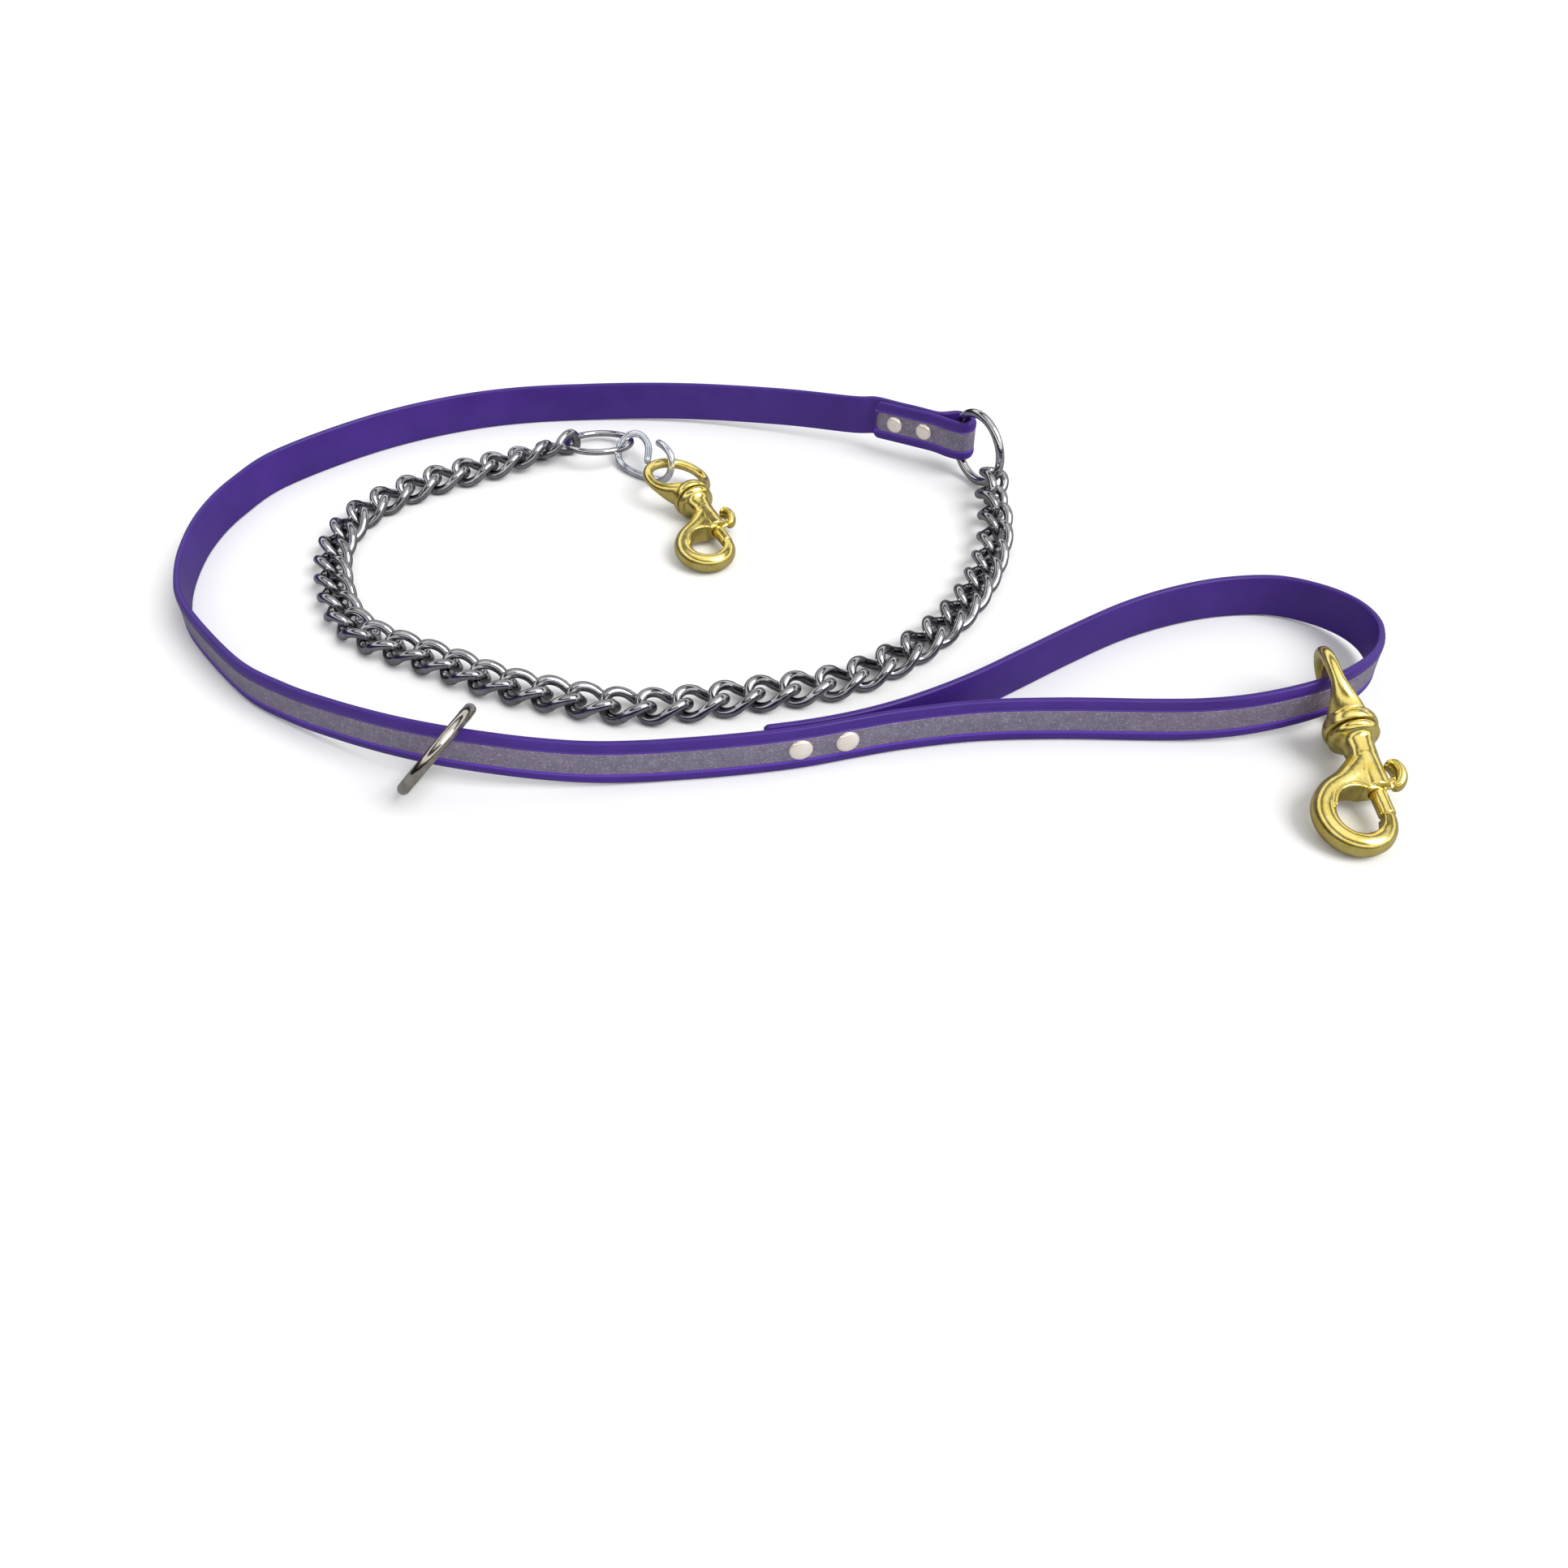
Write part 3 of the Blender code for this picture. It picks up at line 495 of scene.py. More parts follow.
@dataclass
class Strap:
    """Webbing with welded raised borders, and the reflective band between them."""

    width: float = 19.0
    thickness: float = 2.6
    edge_radius: float = 0.9
    border_rise: float = 0.42
    band_width: float = 9.5
    band_thickness: float = 0.3
    lap: float = 3.0
    corner: float = 2.6                # rounded corners of the cut ends
    tab_start: Point = (44.6, 605.0, 7.4)
    tab_direction: Point = (0.855, -0.518, 0.0)
    fold_lift: float = 8.9
    fold_along: float = 44.0
    fold_across: float = 3.3
    fold_radius: float = 4.6
    pocket: float = 5.2
    main: tuple[Point, ...] = (
        (33.2, 610.9, 6.6), (-2.1, 623.0, 4.4), (-51.6, 634.3, 1.5), (-101.6, 636.2, 0.0),
        (-150.1, 628.6, 0.0), (-195.2, 607.3, 0.0), (-234.7, 573.2, 0.0),
        (-248.9, 546.5, 0.0), (-254.9, 521.8, 0.0), (-255.0, 496.5, 0.0),
        (-250.4, 472.0, 0.0), (-240.0, 449.6, 0.0), (-210.1, 414.6, 0.0),
        (-186.8, 397.3, 1.2), (-165.3, 384.4, 3.8), (-144.1, 373.6, 6.3),
        (-125.1, 366.7, 7.3), (-107.4, 363.4, 6.5), (-88.0, 362.6, 4.0),
        (-68.0, 363.6, 1.4), (-46.2, 366.0, 0.0), (-26.0, 368.2, 0.0))
    lapped: tuple[Point, ...] = ((-6.5, 371.1, 0.0), (9.0, 374.2, 0.0), (24.9, 378.6, 0.0))
    handle: tuple[Point, ...] = (
        (43.4, 383.4, 0.0), (71.3, 388.2, 0.0), (102.1, 389.6, 0.0), (132.6, 388.9, 0.0),
        (153.7, 388.3, 0.7), (171.7, 388.8, 2.4), (189.8, 391.4, 4.9), (206.1, 397.3, 6.2),
        (220.3, 408.9, 5.1), (229.0, 421.6, 3.8), (232.4, 435.6, 2.9), (228.6, 449.4, 2.0),
        (218.2, 460.6, 1.1), (202.3, 467.9, 0.4), (181.2, 467.3, 0.0), (159.2, 460.9, 0.0),
        (136.8, 450.2, 0.0), (114.6, 435.6, 0.0), (93.0, 420.1, 0.0), (73.0, 405.9, 0.0),
        (56.0, 395.6, 0.0), (40.0, 387.6, 0.0))
    station: float = 4.0               # longest piece of the centreline
    bend: float = math.radians(4.0)    # sharpest turn between two pieces
    route: list[Vector] = field(default_factory=list)

    def tab_point(self, along: float, across: float, lift: float) -> Vector:
        """Return a layout point by its distance along the tab and across it."""
        ahead = Vector(self.tab_direction).normalized()
        side = Vector((-ahead.y, ahead.x, 0.0))
        point = Vector(self.tab_start) + ahead * along + side * across
        point.z = lift
        return point

    def fold(self) -> list[Vector]:
        """Return the tab, the turn round the end ring and the lapped start."""
        low = self.tab_start[2]
        lift = [low + (self.fold_lift - low) * share for share in (0.0, 0.3, 0.6, 0.85)]
        pocket = self.fold_along - self.pocket
        points = [self.tab_point(along, 0.0, height)
                  for along, height in zip((0, 10, 20, 31.5), lift)]
        points.append(self.tab_point(pocket, self.fold_across - self.fold_radius,
                                     self.fold_lift))
        for step in range(7):
            turn = math.pi * (step / 6.0 - 0.5)
            points.append(self.tab_point(
                self.fold_along + self.fold_radius * math.cos(turn),
                self.fold_across + self.fold_radius * math.sin(turn), self.fold_lift))
        points.append(self.tab_point(pocket, self.fold_across + self.fold_radius,
                                     self.fold_lift))
        points += [self.tab_point(along, self.lap, height)
                   for along, height in zip((31.5, 20, 10, -2), reversed(lift))]
        return points

    def lay_out(self) -> None:
        """Work out the centreline's lower edge, in the part's frame in millimetres."""
        front = [Vector(p) for p in self.main]
        lapped = [Vector(p) for p in self.lapped]
        handle = [Vector(p) for p in self.handle]
        run = [front[-1], *lapped, handle[0]]
        tail = [point + UP.cross(after - before).normalized() * self.lap
                for before, point, after in zip(run, run[1:], run[2:])]
        dense = catmull_rom(self.fold() + front + lapped + handle + tail[::-1], 24)
        kept = [dense[0]]
        length = 0.0
        heading = (dense[1] - dense[0]).normalized()
        for before, point, after in zip(dense, dense[1:], dense[2:]):
            length += (point - before).length
            ahead = (after - point).normalized()
            if length >= self.station or ahead.angle(heading) >= self.bend:
                kept.append(point)
                heading, length = ahead, 0.0
        kept.append(dense[-1])
        self.route = [layout((p.x, p.y, max(p.z, 0.0))) for p in kept]

    def distances(self) -> list[float]:
        """Return the distance along the route at each of its points."""
        found = [0.0]
        for before, after in zip(self.route, self.route[1:]):
            found.append(found[-1] + (after - before).length)
        return found

    def length(self) -> float:
        """Return the strap's cut length in millimetres."""
        return self.distances()[-1]

    def beside(self, name: str, outline: Profile, inset: float) -> bpy.types.Object:
        """Skin an outline along the route.

        Args:
            name: the piece's name.
            outline: (offset to the outside, height above the lower edge) pairs.
            inset: how far the piece stops short of the cut ends.

        Returns:
            The piece, with its length and width as a UV map in metres.
        """
        walked = self.distances()
        total = walked[-1]
        middle = self.width / 2.0
        half = max(abs(height - middle) for _, height in outline)
        frames, sections, marks = [], [], []
        stops = [inset + self.corner * (1.0 - math.cos(math.pi / 2.0 * k / 5.0))
                 for k in range(6)]
        wanted = stops + [d for d in walked if stops[-1] < d < total - stops[-1]]
        wanted += [total - stop for stop in reversed(stops)]
        directions = tangents(self.route)
        index = 0
        for distance in wanted:
            while index < len(walked) - 2 and walked[index + 1] < distance:
                index += 1
            share = (distance - walked[index]) / (walked[index + 1] - walked[index])
            point = self.route[index].lerp(self.route[index + 1], share)
            tangent = directions[index].lerp(directions[index + 1], share)
            out = Vector((tangent.y, -tangent.x, 0.0)).normalized()
            end = min(distance, total - distance) - inset
            drop = 0.0
            if end < self.corner:
                drop = self.corner - math.sqrt(max(self.corner ** 2
                                                   - (self.corner - end) ** 2, 0.0))
            reach = half - drop
            frames.append((point, out, UP))
            sections.append([(a, middle + max(-reach, min(reach, b - middle)))
                             for a, b in outline])
            marks.append(distance)
        bm = skin(frames, sections)
        self.mark(bm, marks, sections, middle)
        return new_object(name, bm)

    @staticmethod
    def mark(bm: bmesh.types.BMesh, marks: Sequence[float], sections: Sequence[Profile],
             middle: float) -> None:
        """Store length and width as a UV map, and which side faces out."""
        layer = bm.loops.layers.uv.new("length_and_width")
        outer = bm.verts.layers.float.new("outer_face")
        bm.verts.ensure_lookup_table()
        count = len(sections[0])
        places = [(marks[i // count], sections[i // count][i % count])
                  for i in range(len(bm.verts))]
        for vert, (_, (a, _)) in zip(bm.verts, places):
            vert[outer] = 1.0 if a > 0.0 else 0.0
        for face in bm.faces:
            for loop in face.loops:
                along, (_, b) = places[loop.vert.index]
                loop[layer].uv = (along * MM, (b - middle) * MM)

    def webbing_outline(self) -> Profile:
        """Return the webbing's outline: plain inside, raised borders outside."""
        half, top, r = self.thickness / 2.0, self.width, self.edge_radius
        bed = (self.width - self.band_width) / 2.0
        rise = half + self.border_rise
        lower_out = [(half - r + r * s, r * (1.0 - c)) for s, c in
                     ((0.0, 1.0), (0.5, 0.87), (0.87, 0.5), (1.0, 0.0))]
        lower_in = [(-half + r - r * s, r * (1.0 - c)) for s, c in
                    ((1.0, 0.0), (0.87, 0.5), (0.5, 0.87), (0.0, 1.0))]
        border = [(rise, r + 0.9), (rise + 0.05, bed * 0.5), (rise, bed - 0.7),
                  (half + 0.1, bed - 0.15), (half, bed + 0.1)]
        out_low = lower_out + border
        out_high = [(a, top - b) for a, b in reversed(out_low)]
        in_high = [(a, top - b) for a, b in reversed(lower_in)]
        return out_low + out_high + in_high + lower_in

    def band_outline(self) -> Profile:
        """Return the band's outline, bedded between the borders."""
        low = self.thickness / 2.0 - 0.1
        high = low + 0.1 + self.band_thickness
        bed = (self.width - self.band_width) / 2.0 + 0.05
        return [(low, bed), (high - 0.08, bed), (high, bed + 0.3),
                (high, self.width - bed - 0.3), (high - 0.08, self.width - bed),
                (low, self.width - bed)]

    def build(self) -> None:
        """Build the webbing and its band."""
        self.lay_out()
        webbing = self.beside("webbing_strap", self.webbing_outline(), 0.0)
        settled(webbing, Matrix.Identity(4), material(Finish.WEBBING), "webbing", "webbing",
                "strap")
        band = self.beside("reflective_band", self.band_outline(), 1.2)
        settled(band, Matrix.Identity(4), material(Finish.BAND), "webbing",
                "reflective_band", "reflective_stripe")

    def outward(self, spot: Vector) -> Vector:
        """Return the outward direction of the strap's face nearest to a spot."""
        directions = tangents(self.route)
        index = min(range(len(self.route)),
                    key=lambda i: (self.route[i].xy - spot.xy).length)
        return Vector((directions[index].y, -directions[index].x, 0.0)).normalized()


# --- Geometry Nodes: rivet and link ----------------------------------------------------------

class ShapeTree(NodeMaker):
    """A Geometry Nodes tree with named inputs, applied to one mesh at a time."""

    def __init__(self, name: str, inputs: dict[str, float]) -> None:
        """Start a tree.

        Args:
            name: the tree's name.
            inputs: each named size with the value it starts from.
        """
        super().__init__(bpy.data.node_groups.new(name, "GeometryNodeTree"))
        face = self.tree.interface
        face.new_socket("Geometry", in_out="OUTPUT", socket_type="NodeSocketGeometry")
        self.sockets = {}
        for label, value in inputs.items():
            socket = face.new_socket(label, in_out="INPUT", socket_type="NodeSocketFloat")
            socket.default_value = value
            self.sockets[label] = socket.identifier
        finish = face.new_socket("Finish", in_out="INPUT", socket_type="NodeSocketMaterial")
        self.sockets["Finish"] = finish.identifier
        self.inputs = self.add("NodeGroupInput").outputs

    def finish(self, geometry: bpy.types.NodeSocket) -> None:
        """End the tree in realised geometry with its material set."""
        smooth = self.add("GeometryNodeSetShadeSmooth", Geometry=geometry)
        real = self.add("GeometryNodeRealizeInstances", Geometry=smooth.outputs[0])
        dressed = self.add("GeometryNodeSetMaterial", Geometry=real.outputs[0],
                           Material=self.inputs["Finish"])
        self.add("NodeGroupOutput", i0=dressed.outputs[0])

    def made(self, name: str, finish: Finish, **sizes: float) -> bpy.types.Object:
        """Run the tree.

        Args:
            name: the new piece's name.
            finish: its finish.
            sizes: values for named inputs, with underscores for spaces.

        Returns:
            A new object with a plain mesh.
        """
        piece = new_object(name, bmesh.new())
        modifier = piece.modifiers.new("shape", "NODES")
        modifier.node_group = self.tree
        modifier[self.sockets["Finish"]] = material(finish)
        for label, value in sizes.items():
            modifier[self.sockets[label.replace("_", " ")]] = value
        return applied(piece)


def rivet_tree() -> ShapeTree:
    """Return the tree of a double-cap rivet along x: a post and two domed caps."""
    tree = ShapeTree("rivet", {"Half stack": 3.1, "Cap radius": 4.0, "Cap height": 1.6,
                               "Post radius": 1.4})
    sizes = tree.inputs
    count = 25
    line = tree.add("GeometryNodeMeshLine", Count=count * 2 + 1)
    index = tree.add("GeometryNodeInputIndex").outputs[0]
    signed = tree.math("SUBTRACT", index, float(count))
    share = tree.math("DIVIDE", tree.math("ABSOLUTE", signed), float(count))
    way = tree.math("SIGN", signed)
    # the first tenth is the post, the rest climbs the cap from its rolled rim to its crown
    climb = tree.math("MAXIMUM", tree.math("DIVIDE", tree.math("SUBTRACT", share, 0.1), 0.9),
                      0.0)
    turn = tree.math("MULTIPLY", climb, math.pi * 0.97 / 2.0)
    on_cap = tree.math("GREATER_THAN", share, 0.09)
    rise = tree.math("MULTIPLY", tree.math("SINE", turn), sizes["Cap height"])
    along = tree.math("ADD", tree.math("MULTIPLY", sizes["Half stack"],
                                       tree.math("MINIMUM", tree.math("MULTIPLY", share, 10.0),
                                                 1.0)), rise)
    spot = tree.add("ShaderNodeCombineXYZ", i0=tree.math("MULTIPLY", along, way))
    moved = tree.add("GeometryNodeSetPosition", Geometry=line.outputs[0],
                     Position=spot.outputs[0])
    round_cap = tree.math("MULTIPLY", tree.math("POWER", tree.math("COSINE", turn), 0.75),
                          sizes["Cap radius"])
    radius = tree.math("ADD", tree.math("MULTIPLY", on_cap, round_cap),
                       tree.math("MULTIPLY", tree.math("SUBTRACT", 1.0, on_cap),
                                 sizes["Post radius"]))
    curve = tree.add("GeometryNodeMeshToCurve", Mesh=moved.outputs[0])
    outline = tree.add("GeometryNodeCurvePrimitiveCircle", Resolution=40, Radius=1.0)
    scaled = tree.add("GeometryNodeCurveToMesh", Curve=curve.outputs[0],
                      Profile_Curve=outline.outputs[0], Scale=radius, Fill_Caps=True)
    tree.finish(scaled.outputs[0])
    return tree


def link_tree() -> ShapeTree:
    """Return the tree of one curb link: an oval of round wire, twisted to lie flat."""
    tree = ShapeTree("curb_link", {
        "Half length": 9.3, "Half width": 6.2, "Wire radius": 2.0, "Squareness": 2.6,
        "Twist": math.radians(50.0), "Twist power": 0.8, "Half pitch": 7.0})
    sizes = tree.inputs
    stations = 72
    loop = tree.add("GeometryNodeCurvePrimitiveCircle", Resolution=stations, Radius=1.0)
    index = tree.add("GeometryNodeInputIndex").outputs[0]
    turn = tree.math("MULTIPLY", tree.math("ADD", index, 0.5), 2.0 * math.pi / stations)
    power = tree.math("DIVIDE", 2.0, sizes["Squareness"])

    def squared(value: bpy.types.NodeSocket, size: bpy.types.NodeSocket
                ) -> bpy.types.NodeSocket:
        """Bend a sine or cosine towards a squarer oval and give it its size."""
        bent = tree.math("POWER", tree.math("ABSOLUTE", value), power)
        return tree.math("MULTIPLY", tree.math("MULTIPLY", bent, tree.math("SIGN", value)),
                         size)

    along = squared(tree.math("COSINE", turn), sizes["Half length"])
    across = squared(tree.math("SINE", turn), sizes["Half width"])
    share = tree.math("POWER", tree.math("DIVIDE", tree.math("ABSOLUTE", along),
                                         sizes["Half length"]), sizes["Twist power"])
    twist = tree.math("MULTIPLY", tree.math("MULTIPLY", share, tree.math("SIGN", along)),
                      tree.math("MULTIPLY", sizes["Twist"], -1.0))
    spot = tree.add("ShaderNodeCombineXYZ",
                    i0=tree.math("ADD", along, sizes["Half pitch"]),
                    i1=tree.math("MULTIPLY", across, tree.math("COSINE", twist)),
                    i2=tree.math("MULTIPLY", across, tree.math("SINE", twist)))
    moved = tree.add("GeometryNodeSetPosition", Geometry=loop.outputs[0],
                     Position=spot.outputs[0])
    wire = tree.add("GeometryNodeCurvePrimitiveCircle", Resolution=20,
                    Radius=sizes["Wire radius"])
    swept = tree.add("GeometryNodeCurveToMesh", Curve=moved.outputs[0],
                     Profile_Curve=wire.outputs[0])
    tree.finish(swept.outputs[0])
    return tree


@dataclass
class Rivets:
    """The four double-cap rivets that hold the two laps."""

    strap: Strap
    cap_radius: dict[str, float] = field(default_factory=lambda: {
        "end_rivet_1": 4.0, "end_rivet_2": 4.0, "handle_rivet_1": 4.5,
        "handle_rivet_2": 4.5})

    def build(self) -> None:
        """Build the rivets."""
        tree = rivet_tree()
        for name, radius in self.cap_radius.items():
            low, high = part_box(name)
            centre = (low + high) / 2.0 / MM
            outward = self.strap.outward(centre)
            turn = outward.to_track_quat("X", "Z").to_matrix().to_4x4()
            piece = tree.made(name + "_cap", Finish.RIVET, Cap_radius=radius)
            settled(piece, Matrix.Translation(centre) @ turn, material(Finish.RIVET),
                    "webbing", "rivet_nickel", name)


# --- Chain and rings -------------------------------------------------------------------------

@dataclass
class Chain:
    """Forty-two curb links, each on its own body between two bearing points."""

    count: int = 42
    rolls: dict[int, float] = field(default_factory=lambda: {
        1: -56.0, 2: -38.0, 3: -20.0, 4: -6.0, 40: -6.0, 41: -22.0, 42: -40.0})

    def bearings(self) -> list[Vector]:
        """Return where each link bears on the last, and the last on the end ring."""
        at = {joint["name"]: Vector(joint["pos_m"]) / MM for joint in frame["joints"]
              if joint["type"] == "hinge"}
        names = [f"link_{n:02d}_swing" for n in range(1, self.count + 1)]
        return [at[name] for name in [*names, "chain_ring_swing"]]

    def build(self) -> None:
        """Build the links."""
        tree = link_tree()
        bearing = self.bearings()
        for number, (start, end) in enumerate(zip(bearing, bearing[1:]), 1):
            along = (end - start).normalized()
            up = (UP - along * UP.dot(along)).normalized()
            up = Matrix.Rotation(math.radians(self.rolls.get(number, 0.0)), 3, along) @ up
            turn = Matrix((along, up.cross(along), up)).transposed().to_4x4()
            node = f"chain_link_{number:02d}"
            piece = tree.made(f"link_{number:02d}_wire", Finish.CHROME)
            settled(piece, Matrix.Translation(start) @ turn, material(Finish.CHROME),
                    f"link_{number:02d}", "chrome_chain", node)


@dataclass
class Ring:
    """A welded ring of round wire, with its butt joint ground almost flush."""

    node: str
    body: str
    slot: str
    finish: Finish
    mean: float
    wire: float
    first: Point
    second: Point
    weld_turn: float
    weld_rise: float = 0.10
    weld_half: float = 0.07            # in radians round the ring

    def build(self) -> None:
        """Build the ring about the middle of its CAD node's box."""
        low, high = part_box(self.node)
        centre = (low + high) / 2.0 / MM
        first = Vector(self.first).normalized()
        second = Vector(self.second)
        second = (second - first * second.dot(first)).normalized()
        normal = first.cross(second)
        frames, sections = [], []
        count = 144
        for index in range(count):
            turn = 2.0 * math.pi * index / count
            out = first * math.cos(turn) + second * math.sin(turn)
            away = (turn - self.weld_turn + math.pi) % (2.0 * math.pi) - math.pi
            radius = self.wire + self.weld_rise * math.exp(-(away / self.weld_half) ** 2)
            frames.append((centre + out * self.mean, out, normal))
            sections.append(oval(radius, radius, 28))
        piece = new_object(self.node + "_wire", skin(frames, sections, closed=True))
        settled(piece, Matrix.Identity(4), material(self.finish), self.body, self.slot,
                self.node)


RINGS = (
    Ring("end_ring", "end_ring", "chrome_ring", Finish.RING_CHROME, 16.2, 2.0,
         (0.53, -0.848, 0.0), (0.0, 0.0, 1.0), math.radians(150.0)),
    Ring("floating_ring", "floating_ring", "nickel_ring", Finish.NICKEL, 18.1, 2.25,
         (0.346, 0.938, 0.0), (0.5625, -0.2077, 0.8), math.radians(70.0)),
    Ring("chain_end_ring", "chain_ring", "chrome_ring", Finish.RING_CHROME, 15.4, 1.5,
         (1.0, 0.0, 0.0), (0.0, 0.978, -0.21), math.radians(140.0), weld_rise=0.25),
)


@dataclass
class OpenHook:
    """A hook bent from zinc-plated wire, its ends cut square."""

    wire: float = 1.7
    route: tuple[Point, ...] = (
        (-59.5, 583.5, 16.0), (-56.0, 577.5, 17.0), (-53.0, 571.8, 16.2),
        (-52.6, 569.4, 12.2), (-54.2, 568.4, 7.2), (-58.0, 570.6, 3.3), (-64.0, 575.6, 1.8),
        (-71.1, 580.2, 1.7), (-77.4, 586.6, 1.8), (-80.3, 593.6, 2.6), (-79.1, 597.8, 7.4),
        (-74.4, 600.0, 11.2), (-69.2, 599.3, 11.2), (-65.4, 593.0, 8.9),
        (-65.2, 582.6, 6.2))

    def build(self) -> None:
        """Build the hook."""
        curve = catmull_rom([layout(p) for p in self.route], 10)
        radii = [self.wire] * len(curve)
        radii[0] = radii[-1] = self.wire * 0.86
        piece = new_object("open_hook_wire", open_wire(curve, radii, 24))
        settled(piece, Matrix.Identity(4), material(Finish.ZINC), "open_hook", "zinc_wire",
                "s_hook")


# --- Bolt snaps ------------------------------------------------------------------------------

@dataclass
class BoltSnap:
    """A cast bolt snap: x to the barrel's side, y towards the eye, z out of the hook's plane."""

    prefix: str
    size: float
    eye_turn: float
    voxel: float = 0.34
    eye_mean: float = 14.95
    eye_wire: float = 2.5
    seat: float = -12.3
    stem_radius: float = 2.8
    barrel_x: float = -0.2
    barrel_end: float = -47.6
    bore_radius: float = 3.3
    bolt_radius: float = 3.0
    bolt_tip: float = -58.4
    bolt_top: float = -41.0
    opening: Row = (-10.4, -56.9, 7.7, 9.3)
    hook_line: tuple[Row, ...] = (
        (0.0, -33.0, 4.9, 4.9), (-4.0, -38.0, 5.6, 4.9), (-10.0, -42.6, 5.0, 4.8),
        (-16.6, -46.4, 4.6, 4.7), (-21.0, -51.6, 4.3, 4.6), (-22.4, -57.6, 4.3, 4.6),
        (-21.2, -63.4, 4.2, 4.6), (-17.4, -68.0, 4.1, 4.6), (-11.8, -69.8, 4.0, 4.5),
        (-6.4, -68.2, 3.9, 4.3), (-3.0, -64.6, 3.7, 4.1), (-1.6, -61.2, 3.5, 3.7),
        (-1.2, -58.8, 3.3, 3.4))
    shoulder: tuple[Row, ...] = (
        (0.0, -26.0, 5.0, 4.8), (-0.2, -31.0, 5.2, 4.8), (-1.2, -35.0, 6.0, 4.7),
        (-3.4, -39.0, 7.6, 4.5), (-6.2, -43.0, 9.8, 4.3), (-8.6, -47.0, 12.0, 4.2),
        (-9.8, -50.5, 12.8, 4.1))

    def matrix(self) -> Matrix:
        """Return the snap's frame from its swivel, in millimetres, at the snap's own size."""
        swivel = next(j for j in frame["joints"] if j["name"] == self.prefix + "_swivel")
        back = Vector(swivel["axis"]).normalized()
        right = back.cross(UP).normalized()
        turn = Matrix((right, back, right.cross(back))).transposed().to_4x4()
        return (Matrix.Translation(Vector(swivel["pos_m"]) / MM) @ turn
                @ Matrix.Scale(self.size, 4))

    def hoop(self) -> bmesh.types.BMesh:
        """Return the eye's hoop, its legs thicker where they flare into the base."""
        turn = Matrix.Rotation(self.eye_turn, 3, "Y")
        frames, sections = [], []
        count = 96
        for index in range(count):
            angle = 2.0 * math.pi * index / count
            out = Vector((math.cos(angle), math.sin(angle), 0.0))
            low = max(0.0, -math.sin(angle) - 0.2) / 0.8
            wide = self.eye_wire + 1.1 * low ** 1.6
            deep = self.eye_wire + 5.0 * low ** 2.0
            frames.append((turn @ (out * self.eye_mean), turn @ out,
                           turn @ Vector((0.0, 0.0, 1.0))))
            sections.append(oval(wide, deep, 24))
        return skin(frames, sections, closed=True)

    def eye(self) -> bpy.types.Object:
        """Return the eye with its bell-shaped base, bored for the swivel's stem."""
        bell = turned([(-12.3, 3.0), (-12.5, 6.2), (-13.8, 7.9), (-15.4, 9.1), (-17.2, 9.8),
                       (-19.0, 9.9), (-20.0, 9.6), (-20.4, 9.0), (-20.0, 8.4), (-19.3, 7.4),
                       (-19.2, 3.0)], 64)
        stem = turned([(-23.0, 3.15), (self.seat, 3.15), (self.seat + 0.01, 4.7),
                       (-8.0, 4.7)], 40)
        return cast(self.prefix + "_eye_casting", [self.hoop(), bell], [stem], self.voxel, 3)

    def rim(self) -> bmesh.types.BMesh:
        """Return the raised bevel along the opening's upper edge."""
        x, y, across, up = self.opening
        points, radii = [], []
        for step in range(33):
            angle = math.radians(18.0 + 152.0 * step / 32.0)
            points.append(Vector((x + (across + 0.75) * math.cos(angle),
                                  y + (up + 0.75) * math.sin(angle), 3.95)))
            radii.append(0.25 + 0.75 * math.sin(math.pi * step / 32.0) ** 0.4)
        return open_wire(points, radii, 12)

    def body(self) -> bpy.types.Object:
        """Return the cast body: stem, collar, neck, barrel, shoulder and hook."""
        head, stem = self.seat + 0.3, self.stem_radius
        neck = turned([(head + 1.4, 3.4), (head + 0.7, 4.3), (head, 4.3), (head - 0.01, stem),
                       (-20.0, stem), (-20.01, 5.2), (-20.6, 7.4), (-21.2, 8.8),
                       (-22.0, 9.3), (-23.2, 9.2), (-24.2, 8.3), (-25.0, 6.9), (-26.2, 5.9),
                       (-29.0, 5.5), (-36.0, 5.0)], 64)
        barrel = turned([(-28.0, 4.8), (-33.0, 5.3), (self.barrel_end + 0.5, 5.3),
                         (self.barrel_end, 4.9)], 56, self.barrel_x)
        line, sizes = tapered(self.hook_line, 6)
        out = Vector((0.0, 0.0, 1.0))
        hook = skin([(p, out.cross(t), out) for p, t in zip(line, tangents(line))],
                    [oval(s.x, s.y, 32, 2.0) for s in sizes])
        rows, spans = tapered(self.shoulder, 4)
        across = Vector((1.0, 0.0, 0.0))
        web = skin([(p, across, out) for p in rows],
                   [oval(s.x, s.y, 40, 2.6) for s in spans])
        x, y, wide, high = self.opening
        throat = skin([(Vector((x, y, z)), across, Vector((0.0, 1.0, 0.0)))
                       for z in (-9.0, 9.0)], [oval(wide, high, 64, 2.15)] * 2)
        skirt = skin([(Vector((-0.3, y_at, 0.0)), across, out) for y_at in (-58.0, -48.6)],
                     [[(-6.6, -9.0), (9.0, -9.0), (9.0, 9.0), (-6.6, 9.0)]] * 2)
        bore = turned([(self.barrel_end - 6.0, self.bore_radius), (-26.5, self.bore_radius)],
                      40, self.barrel_x)
        seat = turned([(self.bolt_tip - 0.5, 3.4), (self.barrel_end, 3.4)], 40, self.barrel_x)
        slot = skin([(Vector((self.barrel_x + 5.5, y_at, 0.0)), across, out)
                     for y_at in (-31.6, self.barrel_end - 2.0)],
                    [[(-4.0, -1.8), (4.0, -1.8), (4.0, 1.8), (-4.0, 1.8)]] * 2)
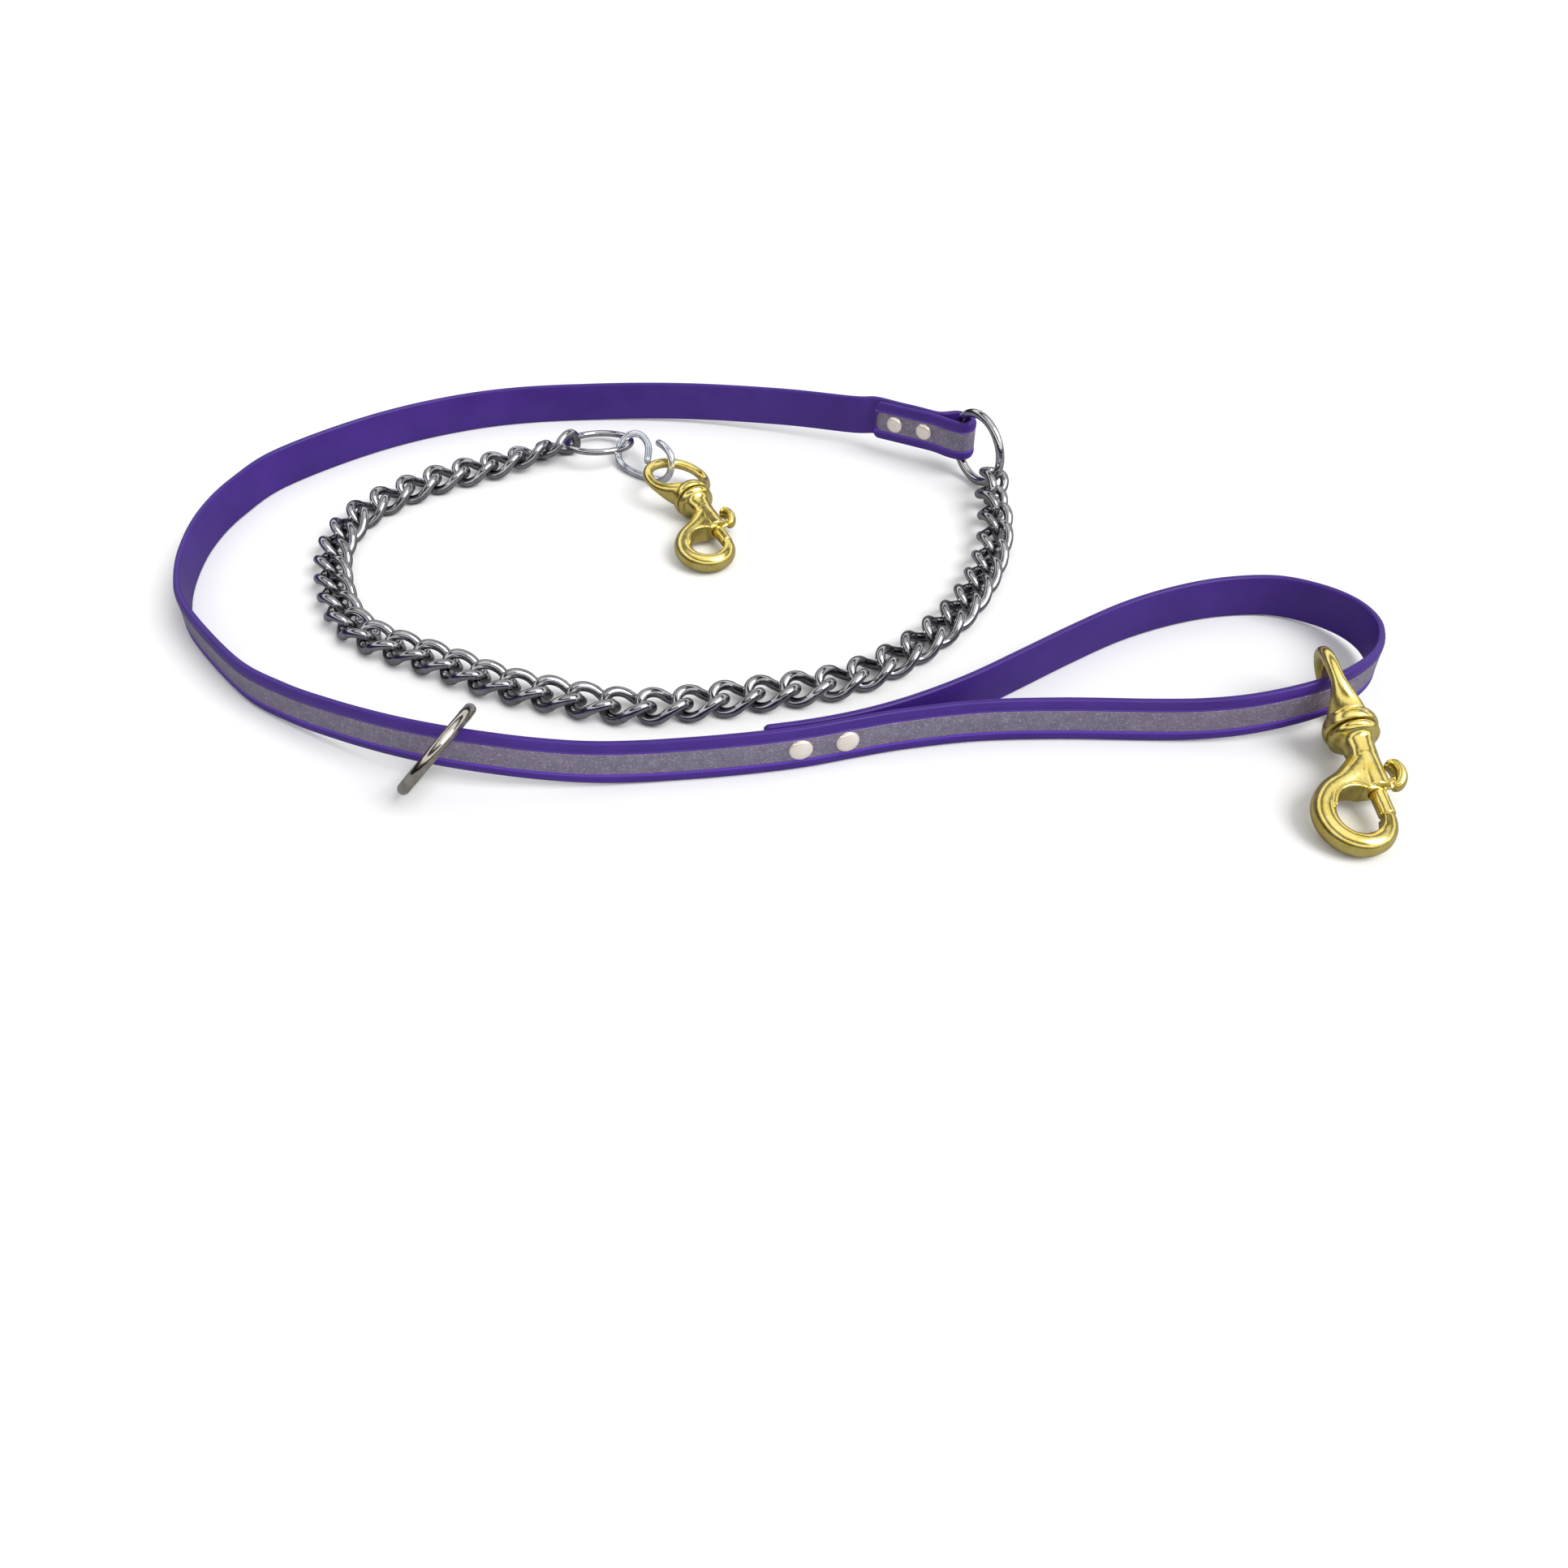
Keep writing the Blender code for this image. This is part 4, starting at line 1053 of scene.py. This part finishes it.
        return cast(self.prefix + "_snap_casting",
                    [neck, barrel, hook, web, self.rim()],
                    [throat, skirt, bore, seat, slot], self.voxel, 3)

    def bolt(self) -> bpy.types.Object:
        """Return the sliding bolt with its crescent thumb knob on a short stalk."""
        rod = turned([(self.bolt_tip, 2.4), (self.bolt_tip + 0.5, self.bolt_radius),
                      (self.bolt_top - 0.4, self.bolt_radius), (self.bolt_top, 2.2)], 40,
                     self.barrel_x)
        across, out = Vector((0.0, 1.0, 0.0)), Vector((0.0, 0.0, 1.0))
        stalk_line = ((1.0, -44.6, 2.4, 1.1), (5.6, -44.6, 2.2, 1.2), (8.2, -43.6, 2.4, 1.8))
        stalk = skin([(Vector((x, y, 0.0)), across, out) for x, y, _, _ in stalk_line],
                     [oval(a, b, 20) for _, _, a, b in stalk_line])
        knob_line = ((7.0, -36.4, 0.7, 2.0), (8.0, -35.9, 1.2, 3.1), (9.5, -37.0, 1.7, 3.9),
                     (10.3, -39.9, 2.1, 4.3), (9.9, -42.8, 2.3, 4.0), (8.4, -45.2, 2.0, 3.0),
                     (6.4, -46.2, 1.4, 1.9))
        line, sizes = tapered(knob_line, 5)
        knob = skin([(p, out.cross(t), out) for p, t in zip(line, tangents(line))],
                    [oval(s.x, s.y, 24) for s in sizes])
        return cast(self.prefix + "_bolt_casting", [rod, stalk, knob], [], 0.24, 2)

    def build(self) -> None:
        """Build the eye, body and bolt, and dress the spring."""
        matrix = self.matrix()
        node = self.prefix + "_snap"
        brass = material(Finish.BRASS)
        settled(self.eye(), matrix, brass, self.prefix + "_eye", "brass_snap", node + "_eye")
        settled(self.body(), matrix, brass, self.prefix + "_snap", "brass_snap",
                node + "_body")
        settled(self.bolt(), matrix, brass, self.prefix + "_bolt", "brass_snap",
                node + "_bolt")
        spring = frame["nodes"][node + "_spring"]
        spring.data.materials.clear()
        spring.data.materials.append(material(Finish.SPRING))


# --- Studio ----------------------------------------------------------------------------------

@dataclass
class Studio:
    """A white table, soft light from the right, and the camera.

    Mirrors see a darker table and a room with dark walls, so polished metal gets its contrast,
    while the table itself stays white.
    """

    camera_at: Point = (0.01157, -0.48121, 0.3393)
    camera_tilt: float = math.radians(47.0)
    lens: float = 31.417
    sensor: float = 36.0
    floor_half: float = 6.0
    floor_drop: float = 0.0003
    key_at: Point = (0.75, -0.4, 1.0)
    key_spread: float = math.radians(38.0)
    key_power: float = 2.2
    world_power: float = 0.80
    room_power: float = 1.15
    room_tilt: float = 0.14            # leans the dark band, so left and right differ

    def build_world(self) -> None:
        """Make a pale room whose walls are dark near the horizon, as mirrors see it."""
        world = bpy.data.worlds.new("studio")
        bpy.context.scene.world = world
        world.use_nodes = True
        world.node_tree.nodes.clear()
        sky = NodeMaker(world.node_tree)
        way = sky.add("ShaderNodeTexCoord").outputs["Generated"]
        split = sky.add("ShaderNodeSeparateXYZ", i0=way).outputs
        tilt = sky.math("MULTIPLY_ADD", split["X"], self.room_tilt, split["Z"])
        room = ramp(sky.tree, tilt,
                    ((0.0, "1C1C1E"), (0.14, "29292B"), (0.26, "77777A"), (0.34, "FFFFFF"),
                     (0.58, "FFFFFF"), (0.64, "2E2E30"), (0.76, "58585A"), (0.88, "FFFFFF")))
        ray = sky.add("ShaderNodeLightPath").outputs
        bright = sky.math("MAXIMUM", ray["Is Glossy Ray"], ray["Is Camera Ray"])
        power = sky.add("ShaderNodeMapRange", Value=bright, To_Min=self.world_power,
                        To_Max=self.room_power)
        light = sky.add("ShaderNodeBackground", Strength=power.outputs[0],
                        Color=sky.mix(ray["Is Glossy Ray"], linear("FFFFFF"), room))
        sky.add("ShaderNodeOutputWorld", Surface=light.outputs[0])

    def build_floor(self) -> None:
        """Make the table top."""
        bm = bmesh.new()
        bmesh.ops.create_grid(bm, x_segments=1, y_segments=1, size=self.floor_half)
        floor = new_object("table_top", bm)
        floor.location.z = -self.floor_drop
        paint = Surface("table_white")
        mirrored = paint.add("ShaderNodeLightPath").outputs["Is Glossy Ray"]
        paint.set(Base_Color=paint.mix(mirrored, linear("F1F1F1"), linear("8A8A8C")),
                  Roughness=0.75, Specular_IOR_Level=0.2)
        floor.data.materials.append(paint.material)

    def build_light(self) -> None:
        """Add the broad soft light that comes from the right."""
        light = bpy.data.lights.new("key_light", "SUN")
        light.angle = self.key_spread
        light.energy = self.key_power
        lamp = bpy.data.objects.new("key_light", light)
        lamp.location = self.key_at
        lamp.rotation_euler = (-Vector(self.key_at)).to_track_quat("-Z", "Y").to_euler()
        bpy.context.scene.collection.objects.link(lamp)

    def build_camera(self) -> None:
        """Add the camera."""
        data = bpy.data.cameras.new("camera")
        data.sensor_width = self.sensor
        data.lens = self.lens
        data.clip_start = 0.01
        camera = bpy.data.objects.new("camera", data)
        camera.location = self.camera_at
        camera.rotation_euler = (self.camera_tilt, 0.0, 0.0)
        bpy.context.scene.collection.objects.link(camera)
        bpy.context.scene.camera = camera

    def build(self) -> None:
        """Build the studio."""
        self.build_world()
        self.build_floor()
        self.build_light()
        self.build_camera()
        view = bpy.context.scene.view_settings
        view.view_transform = "Standard"
        view.look = "None"


def main() -> None:
    """Build the leash around its frame."""
    logging.basicConfig(level=logging.INFO)
    Studio().build()
    strap = Strap()
    strap.build()
    Rivets(strap).build()
    Chain().build()
    for ring in RINGS:
        ring.build()
    OpenHook().build()
    for snap in (BoltSnap("large", 1.0, math.radians(-110.0)),
                 BoltSnap("small", 0.9, math.radians(12.0))):
        snap.build()
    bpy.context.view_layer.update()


if __name__ == "__main__":
    main()
